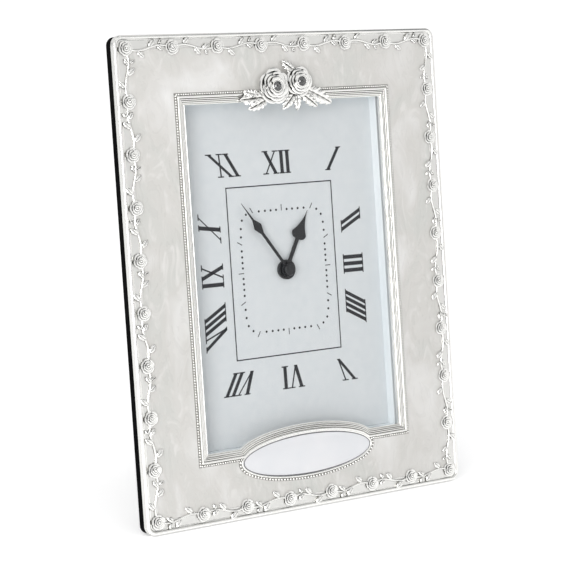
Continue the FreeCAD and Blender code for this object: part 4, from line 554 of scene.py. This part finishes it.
# Painted shade darkens the grooves of the moulding.
bezel_silver = silver_finish(
    "ridged_silver", SILVER, reach=0.40, full_shade_below=0.22, unshaded_above=0.44,
    low=0.14, high=0.24, grain_size=2.0, height=0.008,
)
bezel_low = OPENING_RISE - BEZEL_HALF_HEIGHT
bezel_high = OPENING_RISE + BEZEL_HALF_HEIGHT
arch_start = meeting_angle(bezel_low, ARCH_GROW)
arch = oval_outline(ARCH_GROW, math.pi - arch_start, arch_start, ARCH_STEPS)
# The arch has no points close to its ends, where the moulding turns sharply into the rail.
outline = [(-BEZEL_HALF_WIDTH, bezel_low), arch[0]] + arch[ARCH_JOIN:-ARCH_JOIN] + [arch[-1]]
outline += [(BEZEL_HALF_WIDTH, bezel_low), (BEZEL_HALF_WIDTH, bezel_high), (-BEZEL_HALF_WIDTH, bezel_high)]
bm = bmesh.new()
swept_frame(bm, outline, BEZEL_PROFILE)
swept_frame(bm, whole_oval(OVAL_RIM_GROW), OVAL_RIM_PROFILE)
set_piece("ridged_bezel", bm, bezel_silver, "frame", ("bezel_moulding",))


# Beading
# A row of small round beads on a channel painted dark as shade along the bezel, with larger ones round the
# lower edge of the oval. It is one silver wire, laid in the groove beside the moulding.

RAIL_BEADS = (0.43, 1.08)
OVAL_BEADS = (0.52, 1.45)
BEAD_OFFSET = 0.55
BEAD_LIFT = 0.2
CHANNEL_WIDTH = 1.1
LOWER_STEPS = 60
bead_low = bezel_low - BEAD_OFFSET
bead_high = bezel_high + BEAD_OFFSET
bead_side = BEZEL_HALF_WIDTH + BEAD_OFFSET
bead_grow = OVAL_RIM_GROW + BEAD_OFFSET
bead_start = meeting_angle(bead_low, bead_grow)
oval_beads = oval_outline(bead_grow, bead_start, -math.pi - bead_start, LOWER_STEPS)
rail_beads = [
    oval_beads[-1], (-bead_side, bead_low), (-bead_side, bead_high), (bead_side, bead_high),
    (bead_side, bead_low), oval_beads[0],
]
bm = bmesh.new()
for path, (radius, step) in ((rail_beads, RAIL_BEADS), (oval_beads, OVAL_BEADS)):
    left_over = 0.0
    for (x_a, z_a), (x_b, z_b) in zip(path, path[1:]):
        run = math.hypot(x_b - x_a, z_b - z_a)
        reached = left_over
        while reached < run:
            share = reached / run
            bead = bmesh.ops.create_uvsphere(bm, u_segments=8, v_segments=5, radius=radius)["verts"]
            spot = Vector((x_a + (x_b - x_a) * share, -BEAD_LIFT, z_a + (z_b - z_a) * share))
            bmesh.ops.translate(bm, vec=spot, verts=bead)
            reached += step
        left_over = reached - run
set_piece("bead_wire", bm, bright_silver, "frame", ("bead_row",), 75.0)
channel_low = bezel_low - CHANNEL_WIDTH
channel_side = BEZEL_HALF_WIDTH + CHANNEL_WIDTH
channel_high = bezel_high + CHANNEL_WIDTH
channel_grow = OVAL_RIM_GROW + CHANNEL_WIDTH
channel_start = meeting_angle(channel_low, channel_grow)
outline = [(-channel_side, channel_low)]
outline += oval_outline(channel_grow, -math.pi - channel_start, channel_start, LOWER_STEPS)
outline += [(channel_side, channel_low), (channel_side, channel_high), (-channel_side, channel_high)]
# Painted shade: a dark strip under the beads stands in for the shade round them.
channel_shade_silver, tree, shader = new_finish("channel_painted_shade", (0.2, 0.195, 0.18), 0.5, 0.6)
channel_shade_tones = ((0.3, (0.26, 0.25, 0.235)), (0.7, (0.40, 0.39, 0.365)))
tint(tree, grain(tree, 0.8), channel_shade_tones, shader.inputs["Base Color"])
bm = bmesh.new()
swept_frame(bm, outline, ((0.0, 0.02), (0.12, 0.06), (CHANNEL_WIDTH, 0.06)))
set_piece("bead_channel", bm, channel_shade_silver, "frame")


# Oval plaque
# A slightly domed oval in glossy cool white enamel, with a thin dark line inside its silver rim.
# It is drawn on a circle and then widened.

PLAQUE_MARGIN = 0.06
PLAQUE_BACK = 0.3
PLAQUE_DOME = ((0.004, 0.5), (0.1, 0.10), (0.2, 0.10), (0.25, 0.07), (0.3, 0.03))
PLAQUE_LINE_GROW = -0.12
PLAQUE_LINE_PROFILE = ((0.0, 0.28), (0.26, 0.33))
plaque_enamel, tree, shader = new_finish("plaque_enamel", (0.82, 0.82, 0.85), 0.16)
haze = grain(tree, 14.0, 2.0)
tint(tree, haze, ((0.35, (0.80, 0.81, 0.835)), (0.65, (0.84, 0.84, 0.86))), shader.inputs["Base Color"])
polish(tree, shader, haze, 0.12, 0.22)
shader.inputs["Coat Weight"].default_value = 0.4
shader.inputs["Coat Roughness"].default_value = 0.05
bm = bmesh.new()
round_angles = [2 * math.pi * step / OVAL_STEPS for step in range(OVAL_STEPS)]
plaque = flat_face(bm, [(math.cos(angle), math.sin(angle)) for angle in round_angles], PLAQUE_BACK)
step_inwards(bm, plaque, PLAQUE_DOME)
plaque_size = (OVAL_HALF_WIDTH - PLAQUE_MARGIN, 1, OVAL_HALF_HEIGHT - PLAQUE_MARGIN)
bmesh.ops.scale(bm, vec=plaque_size, verts=bm.verts)
bmesh.ops.translate(bm, vec=(0, 0, -OVAL_DROP), verts=bm.verts)
set_piece("plaque_face", bm, plaque_enamel, "frame", ("oval_plaque",))
plaque_ink, tree, shader = new_finish("plaque_line_ink", (0.10, 0.10, 0.11), 0.4)
line_ink = ((0.3, (0.07, 0.07, 0.08)), (0.7, (0.16, 0.16, 0.17)))
tint(tree, grain(tree, 0.8), line_ink, shader.inputs["Base Color"])
bm = bmesh.new()
swept_frame(bm, whole_oval(PLAQUE_LINE_GROW), PLAQUE_LINE_PROFILE)
set_piece("plaque_line", bm, plaque_ink, "frame")


# Spray of roses
# Two large roses with serrated leaves, cast as one and fixed over the top rail of the bezel.
# Each rose holds a cut stone in a round silver setting.

BIG_ROSE = Vector((-5.9, -0.5, 76.2))
SMALL_ROSE = Vector((6.1, -0.5, 77.8))
BIG_RADIUS = 7.5
SMALL_RADIUS = 6.4
SPRAY_RISE = 3.6
SPRAY_RINGS = (
    (5, 0.66, 1.0, 0.24, 0.46, 84), (5, 0.50, 0.83, 0.42, 0.66, 84), (4, 0.36, 0.67, 0.60, 0.84, 104),
    (4, 0.24, 0.51, 0.74, 0.98, 104),
)
LEAF_ROOT_LIFT = 0.7
SPRAY_LEAF_RISE = 1.9
SETTING_RADIUS = 2.2
SETTING_LIP = 0.34
SETTING_LIFT = 3.5
CUP_FOOT = 1.6
CUP_MOUTH = 2.1
CUP_DEPTH = 2.8
CUP_LIFT = 1.8
# A cut is its back and front radius, its depth and its middle.
STONE_CUTS = ((0.5, 2.05, 0.9, -3.2), (2.05, 1.15, 0.7, -4.0))
# A leaf is the place of its root, its angle, its length and its width.
SPRAY_LEAVES = (
    (-10.2, 72.1, 184, 12.3, 6.4),
    (-14.6, 72.9, 166, 6.4, 3.4),
    (-9.6, 71.2, 203, 10.0, 4.8),
    (4.2, 73.6, 226, 9.4, 4.6),
    (4.8, 73.8, 270, 7.8, 4.0),
    (7.0, 73.0, 323, 9.8, 4.8),
    (9.9, 74.6, 333, 13.6, 6.6),
    (4.7, 81.6, 143, 7.8, 4.2),
)
# Painted shade darkens the hollows of the roses and leaves.
spray_silver = silver_finish(
    "spray_silver", SILVER, reach=1.1, full_shade_below=0.48, unshaded_above=0.80,
    low=0.12, high=0.22, grain_size=1.2, height=0.012,
)
bm = bmesh.new()
for root_x, root_z, angle, length, width in SPRAY_LEAVES:
    root = Vector((root_x, -LEAF_ROOT_LIFT, root_z))
    shape_leaf(
        bm, root, math.radians(angle), length, width, SPRAY_LEAF_RISE,
        teeth=5.0, fineness=(30, 12), thickness=0.4,
    )
shape_rose(bm, BIG_ROSE, BIG_RADIUS, SPRAY_RISE, SPRAY_RINGS, (12, 7), 0.3, False)
shape_rose(bm, SMALL_ROSE, SMALL_RADIUS, SPRAY_RISE, SPRAY_RINGS, (12, 7), 1.1, False)
for spot in (BIG_ROSE, SMALL_ROSE):
    ring = bmesh.ops.create_circle(bm, segments=8, radius=SETTING_LIP)["verts"]
    for vert in ring:
        vert.co = spot + Vector((SETTING_RADIUS + vert.co.x, vert.co.y - SETTING_LIFT, 0))
    bmesh.ops.spin(
        bm, geom=ring + [edge for edge in bm.edges if edge.verts[0] in ring and edge.verts[1] in ring],
        cent=spot, axis=(0, 1, 0), angle=2 * math.pi, steps=28, use_merge=True,
    )
    cup = bmesh.ops.create_cone(
        bm, cap_ends=True, segments=20, radius1=CUP_FOOT, radius2=CUP_MOUTH, depth=CUP_DEPTH,
    )["verts"]
    for vert in cup:
        vert.co = spot + Vector((vert.co.x, -vert.co.z - CUP_LIFT, vert.co.y))
bmesh.ops.recalc_face_normals(bm, faces=bm.faces)
set_piece("rose_spray_relief", bm, spray_silver, "frame", ("rose_spray",), 60.0)

crystal, tree, shader = new_finish("cut_crystal", (0.97, 0.98, 1.0), 0.02)
shader.inputs["Transmission Weight"].default_value = 1.0
shader.inputs["IOR"].default_value = 1.9
relief(tree, shader, grain(tree, 1.5), 0.004)
bm = bmesh.new()
for spot in (BIG_ROSE, SMALL_ROSE):
    for back_radius, front_radius, depth, middle in STONE_CUTS:
        stone = bmesh.ops.create_cone(
            bm, cap_ends=True, segments=10, radius1=back_radius, radius2=front_radius, depth=depth,
        )["verts"]
        for vert in stone:
            vert.co = spot + Vector((vert.co.x, -vert.co.z + middle, vert.co.y))
bmesh.ops.remove_doubles(bm, verts=bm.verts, dist=0.02)
bmesh.ops.recalc_face_normals(bm, faces=bm.faces)
set_piece("cut_stones", bm, crystal, "frame", ("spray_crystals",), 5.0)


# Glass
# A plain clear sheet of two millimetres, cut a little larger than the opening behind the bezel.
# The flange of the well holds it against the casting.

clear, tree, shader = new_finish("clear_glass", (0.02, 0.03, 0.03), 0.02)
shader.inputs["Alpha"].default_value = 0.03
shader.inputs["IOR"].default_value = 1.8
polish(tree, shader, grain(tree, 40.0, 1.0), 0.01, 0.05)
dress("front_glass", clear)


# Dial well
# A tub moulded in pale grey plastic behind the glass. Its walls carry painted stripes of reflected light
# that run front to back, and its flange presses the glass forward.

well_plastic, tree, shader = new_finish("well_plastic", (0.74, 0.77, 0.79), 0.3)
reflection_streaks = grain(tree, 5.0, 2.0, (1.0, 0.25, 0.04))
# Painted reflection: paler and darker stripes on the walls stand in for reflected light.
tint(tree, reflection_streaks, ((0.35, (0.80, 0.86, 0.89)), (0.65, (0.90, 0.94, 0.96))), shader.inputs["Base Color"])
polish(tree, shader, reflection_streaks, 0.22, 0.36)
dress("dial_well", well_plastic)


# Dial
# A printed card on the floor of the well: Roman numerals that stand on their rays, a fine
# rectangle, and a minute track of dots and ticks in black.

card, tree, shader = new_finish("dial_card_stock", (0.78, 0.79, 0.80), 0.55)
fibre = grain(tree, 3.0, 4.0)
tint(tree, fibre, ((0.3, (0.73, 0.765, 0.785)), (0.7, (0.77, 0.80, 0.815))), shader.inputs["Base Color"])
relief(tree, shader, grain(tree, 0.4), 0.006)
dress("dial_card", card)

INK_DEPTH = DIAL_DEPTH - 0.03
SERIF_REACH = 1.3
STROKE = 0.82
HAIRLINE = 0.34
SERIF_TALL = 0.5
# A letter is its width, its strokes from foot to head and the places of its serifs.
GLYPHS = {
    "I": (2.7, ((1.35, 1.35, STROKE),), ((1.35, 0), (1.35, 1))),
    "V": (6.3, ((3.35, 1.35, STROKE), (3.35, 5.3, HAIRLINE)), ((1.35, 1), (5.3, 1))),
    "X": (7.4, ((6.0, 1.4, STROKE), (1.4, 6.0, HAIRLINE)), ((1.4, 0), (6.0, 0), (1.4, 1), (6.0, 1))),
}
# A row is its outward way, its way along, and where its numerals start and end.
ROWS = {
    "top": ((0, 1), (1, 0), 39.9, 49.6),
    "right": ((1, 0), (0, -1), 29.5, 39.8),
    "bottom": ((0, -1), (-1, 0), 40.3, 49.9),
    "left": ((-1, 0), (0, 1), 30.0, 40.5),
}
NUMERALS = (
    ("XII", "top", -0.95, 13.9), ("I", "top", 27.5, 2.8), ("II", "right", -18.3, 5.4),
    ("III", "right", 0.35, 8.5), ("IIII", "right", 18.6, 10.1), ("V", "bottom", -26.9, 7.6),
    ("VI", "bottom", -0.65, 11.2), ("VII", "bottom", 24.8, 12.8), ("VIII", "left", -20.85, 14.2),
    ("IX", "left", 0.2, 10.0), ("X", "left", 19.5, 7.1), ("XI", "top", -26.85, 11.1),
)


def ink(corners):
    """A printed patch from its corners."""
    bm.faces.new([bm.verts.new((x, INK_DEPTH, z)) for x, z in corners])


def numeral_spot(row, offset, across, up):
    """Where a point of a numeral lands on the dial; its strokes lie along the ray."""
    (out_x, out_z), (along_x, along_z), foot, head = ROWS[row]
    reach = foot + (head - foot) * up
    shift = offset * reach / ((foot + head) / 2) + across
    return (out_x * reach + along_x * shift, out_z * reach + along_z * shift + DIAL_RISE)


def stroke(row, offset, low_across, high_across, half_width, low=0, high=1):
    """A straight part of a numeral; its places are millimetres from the numeral's middle."""
    corners = ((low_across, -1, low), (low_across, 1, low), (high_across, 1, high), (high_across, -1, high))
    ink([numeral_spot(row, offset, across + side * half_width, up) for across, side, up in corners])


bm = bmesh.new()
for text, row, offset, width in NUMERALS:
    squeeze = width / sum(GLYPHS[letter][0] for letter in text)
    tall = SERIF_TALL / (ROWS[row][3] - ROWS[row][2])
    start = -width / 2
    for letter in text:
        advance, strokes, serifs = GLYPHS[letter]
        for low_spot, high_spot, half_width in strokes:
            stroke(row, offset, start + low_spot * squeeze, start + high_spot * squeeze, half_width)
        for spot, end in serifs:
            low = end * (1 - tall)
            across = start + spot * squeeze
            stroke(row, offset, across, across, SERIF_REACH * squeeze, low, low + tall)
        start += advance * squeeze

TRACK_HALF_WIDTH = 20.6
TRACK_HALF_HEIGHT = 25.0
TRACK_POWER = 8
DOT_RADIUS = 0.5
TICK_HALF_WIDTH = 0.18
TICK_IN = 0.4
TICK_OUT = 2.2
for minute in range(60):
    angle = 2 * math.pi * minute / 60
    across, up = math.sin(angle), math.cos(angle)
    corner_sum = abs(across / TRACK_HALF_WIDTH) ** TRACK_POWER + abs(up / TRACK_HALF_HEIGHT) ** TRACK_POWER
    reach = corner_sum ** (-1 / TRACK_POWER)
    if minute % 5:
        dot = bmesh.ops.create_circle(bm, cap_ends=True, segments=14, radius=DOT_RADIUS)["verts"]
        for vert in dot:
            vert.co = (reach * across + vert.co.x, INK_DEPTH, reach * up + vert.co.y + DIAL_RISE)
    else:
        near, far, half = reach - TICK_IN, reach + TICK_OUT, TICK_HALF_WIDTH
        ink([
            (out * across - side * up, out * up + side * across + DIAL_RISE)
            for out, side in ((near, half), (near, -half), (far, -half), (far, half))
        ])
PANEL_LEFT, PANEL_RIGHT, PANEL_LOW, PANEL_HIGH, PANEL_LINE = -26.5, 25.9, -35.05, 36.3, 0.5
for x_a, z_a, x_b, z_b in (
    (PANEL_LEFT, PANEL_LOW, PANEL_RIGHT, PANEL_LOW + PANEL_LINE),
    (PANEL_LEFT, PANEL_HIGH - PANEL_LINE, PANEL_RIGHT, PANEL_HIGH),
    (PANEL_LEFT, PANEL_LOW + PANEL_LINE, PANEL_LEFT + PANEL_LINE, PANEL_HIGH - PANEL_LINE),
    (PANEL_RIGHT - PANEL_LINE, PANEL_LOW + PANEL_LINE, PANEL_RIGHT, PANEL_HIGH - PANEL_LINE),
):
    ink([(x_a, z_a), (x_b, z_a), (x_b, z_b), (x_a, z_b)])
print_black, tree, shader = new_finish("dial_ink", (0.02, 0.02, 0.025), 0.45)
ink_shades = ((0.3, (0.014, 0.014, 0.018)), (0.7, (0.03, 0.03, 0.035)))
tint(tree, grain(tree, 0.6), ink_shades, shader.inputs["Base Color"])
for face in bm.faces:
    face.normal_update()
    if face.normal.y > 0:
        face.normal_flip()
set_piece("dial_print", bm, print_black, "frame")


# Hands
# Stamped from thin brass sheet and sprayed matt black, pressed on the pipe and the arbor, with a
# small round cap over the arbor's end.

hand_paint, tree, shader = new_finish("matt_black_paint", (0.016, 0.016, 0.018), 0.42)
spray_grain = grain(tree, 0.35, 4.0)
paint_shades = ((0.3, (0.012, 0.012, 0.014)), (0.7, (0.024, 0.024, 0.027)))
tint(tree, spray_grain, paint_shades, shader.inputs["Base Color"])
polish(tree, shader, spray_grain, 0.34, 0.5)
relief(tree, shader, spray_grain, 0.01)
for node in ("hour_hand", "minute_hand", "hand_cap"):
    dress(node, hand_paint)


# Covered boards
# Board, box, panel and leg are stiff board wrapped in short black velvet. The pile catches light
# at a slant and has faint brushed patches.

velvet, tree, shader = new_finish("black_velvet", (0.003, 0.003, 0.0035), 0.95)
pile = grain(tree, 0.35, 5.0)
brushed_patches = ((0.35, (0.002, 0.002, 0.0025)), (0.7, (0.005, 0.005, 0.0055)))
tint(tree, grain(tree, 22.0, 4.0), brushed_patches, shader.inputs["Base Color"])
shader.inputs["Sheen Weight"].default_value = 0.015
shader.inputs["Sheen Roughness"].default_value = 0.4
shader.inputs["Specular IOR Level"].default_value = 0.02
relief(tree, shader, pile, 0.12)
for node in ("base_board", "rear_box", "back_panel", "strut_leg"):
    dress(node, velvet)


# Strut hinge, buttons and their fasteners
# Pressed and plated steel, finely brushed. The four screws of the buttons have slotted heads, and
# the fixed leaf's rivets are domed; both are drawn again here over their plain discs.

plated, tree, shader = new_finish("plated_steel", (0.60, 0.60, 0.59), 0.3, 1.0)
brush = grain(tree, 0.5, 3.0, (0.05, 1, 1))
tint(tree, brush, ((0.3, (0.52, 0.52, 0.51)), (0.7, (0.68, 0.68, 0.67))), shader.inputs["Base Color"])
polish(tree, shader, brush, 0.24, 0.38)
relief(tree, shader, brush, 0.008)
for node in (
    "hinge_leaf_fixed", "hinge_leaf_moving", "hinge_pin", "turn_button_upper_left", "turn_button_lower_left",
    "turn_button_upper_right", "turn_button_lower_right", "leg_rivets", "movement_screws", "crystal_can",
):
    dress(node, plated)

SCREW_SPOTS = ((-59.5, -45.0, 0.4), (59.5, -45.0, 1.3), (-59.5, 45.0, 2.2), (59.5, 45.0, 2.9))
HEAD_RADIUS = 2.2
HEAD_FRONT = 29.8
SLOT_FLOOR = 30.3
SLOT_HALF_WIDTH = 0.32
CROWN_STEPS = ((0.005, 0.3), (0.22, 0.15), (0.4, 0.05))
ARC_STEPS = 14
SHANK_RADIUS = 1.0
SHANK_LENGTH = 5.0
slot_edge = math.asin(SLOT_HALF_WIDTH / HEAD_RADIUS)
bm = bmesh.new()
for x, z, turn in SCREW_SPOTS:
    for half in (0, math.pi):
        crown = []
        for step in range(ARC_STEPS + 1):
            angle = turn + half + math.pi - slot_edge - (math.pi - 2 * slot_edge) * step / ARC_STEPS
            rim_x, rim_z = x + HEAD_RADIUS * math.cos(angle), z + HEAD_RADIUS * math.sin(angle)
            crown.append(bm.verts.new((rim_x, SLOT_FLOOR, rim_z)))
        top = bm.faces.new(crown)
        top.normal_update()
        step_inwards(bm, top, CROWN_STEPS)
    for radius, near, far in (
        (HEAD_RADIUS, HEAD_FRONT, SLOT_FLOOR), (SHANK_RADIUS, HEAD_FRONT - SHANK_LENGTH, HEAD_FRONT),
    ):
        disc = bmesh.ops.create_cone(
            bm, cap_ends=True, segments=24, radius1=radius, radius2=radius, depth=far - near,
        )
        for vert in disc["verts"]:
            vert.co = Vector((x + vert.co.x, vert.co.z + (near + far) / 2, z + vert.co.y))
bmesh.ops.recalc_face_normals(bm, faces=bm.faces)
set_piece("slotted_screws", bm, plated, "frame", ("turn_button_screws",), 30.0)

RIVET_SPOTS = ((-12.0, 53.0), (12.0, 53.0), (-12.0, 59.5), (12.0, 59.5))
LEAF_FACE = 29.2
PANEL_FACE = 25.9
RIVET_HEAD = 1.9
RIVET_RISE = 0.6
bm = bmesh.new()
for x, z in RIVET_SPOTS:
    dome = bmesh.ops.create_uvsphere(bm, u_segments=20, v_segments=12, radius=RIVET_HEAD)["verts"]
    for vert in dome:
        vert.co = Vector((x + vert.co.x, LEAF_FACE + vert.co.z * RIVET_RISE / RIVET_HEAD, z + vert.co.y))
    stem = bmesh.ops.create_cone(
        bm, cap_ends=True, segments=16, radius1=SHANK_RADIUS, radius2=SHANK_RADIUS,
        depth=LEAF_FACE - PANEL_FACE,
    )["verts"]
    for vert in stem:
        vert.co = Vector((x + vert.co.x, (LEAF_FACE + PANEL_FACE) / 2 + vert.co.z, z + vert.co.y))
bmesh.ops.recalc_face_normals(bm, faces=bm.faces)
set_piece("domed_rivets", bm, plated, "frame", ("panel_rivets",), 40.0)


# Movement
# A moulded black case with a lidded bay for the train. The wheels are natural acetal on steel
# posts, the arbor is brass, and the drive has an iron stator and a copper coil.

moulded, tree, shader = new_finish("movement_black", (0.02, 0.02, 0.022), 0.45)
spark = grain(tree, 0.3, 3.0)
tint(tree, spark, ((0.3, (0.016, 0.016, 0.018)), (0.7, (0.03, 0.03, 0.032))), shader.inputs["Base Color"])
polish(tree, shader, spark, 0.36, 0.55)
relief(tree, shader, spark, 0.02)
for node in ("movement_case", "movement_cover", "setting_knob", "driver_chip"):
    dress(node, moulded)

acetal, tree, shader = new_finish("natural_acetal", (0.82, 0.82, 0.78), 0.35)
cloudy = grain(tree, 4.0)
tint(tree, cloudy, ((0.3, (0.78, 0.78, 0.73)), (0.7, (0.86, 0.86, 0.83))), shader.inputs["Base Color"])
shader.inputs["Subsurface Weight"].default_value = 0.1
shader.inputs["Subsurface Radius"].default_value = (0.001, 0.001, 0.001)
polish(tree, shader, cloudy, 0.28, 0.42)
for node in (
    "hour_wheel", "motion_wheel", "setting_stem", "centre_wheel", "third_wheel", "second_wheel",
    "intermediate_wheel", "coil_bobbin",
):
    dress(node, acetal)

turned_brass, tree, shader = new_finish("turned_brass", (0.76, 0.58, 0.27), 0.25, 1.0)
lathe = grain(tree, 0.3, 2.0, (0.2, 1, 0.2))
tint(tree, lathe, ((0.3, (0.68, 0.50, 0.22)), (0.7, (0.82, 0.65, 0.33))), shader.inputs["Base Color"])
polish(tree, shader, lathe, 0.2, 0.32)
dress("minute_arbor", turned_brass)

iron, tree, shader = new_finish("soft_iron", (0.42, 0.42, 0.43), 0.4, 1.0)
rolled = grain(tree, 0.8, 3.0, (1, 1, 0.1))
tint(tree, rolled, ((0.3, (0.34, 0.34, 0.35)), (0.7, (0.5, 0.5, 0.5))), shader.inputs["Base Color"])
polish(tree, shader, rolled, 0.32, 0.5)
for node in ("stator_plate", "coil_core", "rotor"):
    dress(node, iron)

copper, tree, shader = new_finish("enamelled_copper", (0.72, 0.30, 0.13), 0.25, 1.0)
turns_of_wire = grain(tree, 0.15, 1.0, (1, 0.02, 0.02))
wire_shades = ((0.35, (0.42, 0.14, 0.06)), (0.6, (0.82, 0.38, 0.18)))
tint(tree, turns_of_wire, wire_shades, shader.inputs["Base Color"])
relief(tree, shader, turns_of_wire, 0.05)
dress("coil_winding", copper)

laminate, tree, shader = new_finish("circuit_laminate", (0.05, 0.19, 0.09), 0.4)
weave = grain(tree, 0.6, 2.0)
tint(tree, weave, ((0.3, (0.035, 0.15, 0.07)), (0.7, (0.07, 0.24, 0.12))), shader.inputs["Base Color"])
dress("circuit_board", laminate)

spring_metal, tree, shader = new_finish("contact_strip", (0.70, 0.68, 0.64), 0.3, 1.0)
strip = grain(tree, 0.6, 3.0, (1, 1, 0.1))
tint(tree, strip, ((0.3, (0.62, 0.60, 0.56)), (0.7, (0.78, 0.76, 0.72))), shader.inputs["Base Color"])
dress("contact_positive", spring_metal)
dress("contact_negative", spring_metal)


# Cell
# A standard round cell in a plain grey sleeve, paler towards its raised end. It lies in the bay
# of the movement between its two contacts.

SLEEVE_REACH = 0.025
SLEEVE_BANDS = (
    (0.0, (0.55, 0.55, 0.53)), (0.86, (0.60, 0.61, 0.62)), (0.97, (0.70, 0.70, 0.68)), (1.0, (1, 1, 1)),
)
sleeve, tree, shader = new_finish("cell_sleeve", (0.55, 0.55, 0.53), 0.25)
place = tree.nodes.new("ShaderNodeTexCoord")
split = tree.nodes.new("ShaderNodeSeparateXYZ")
tree.links.new(place.outputs["Object"], split.inputs["Vector"])
along_cell = tree.nodes.new("ShaderNodeMapRange")
along_cell.inputs["From Min"].default_value = -SLEEVE_REACH
along_cell.inputs["From Max"].default_value = SLEEVE_REACH
tree.links.new(split.outputs["X"], along_cell.inputs["Value"])
tint(tree, along_cell.outputs["Result"], SLEEVE_BANDS, shader.inputs["Base Color"], "CONSTANT")
polish(tree, shader, grain(tree, 3.0), 0.2, 0.3)
dress("battery", sleeve)
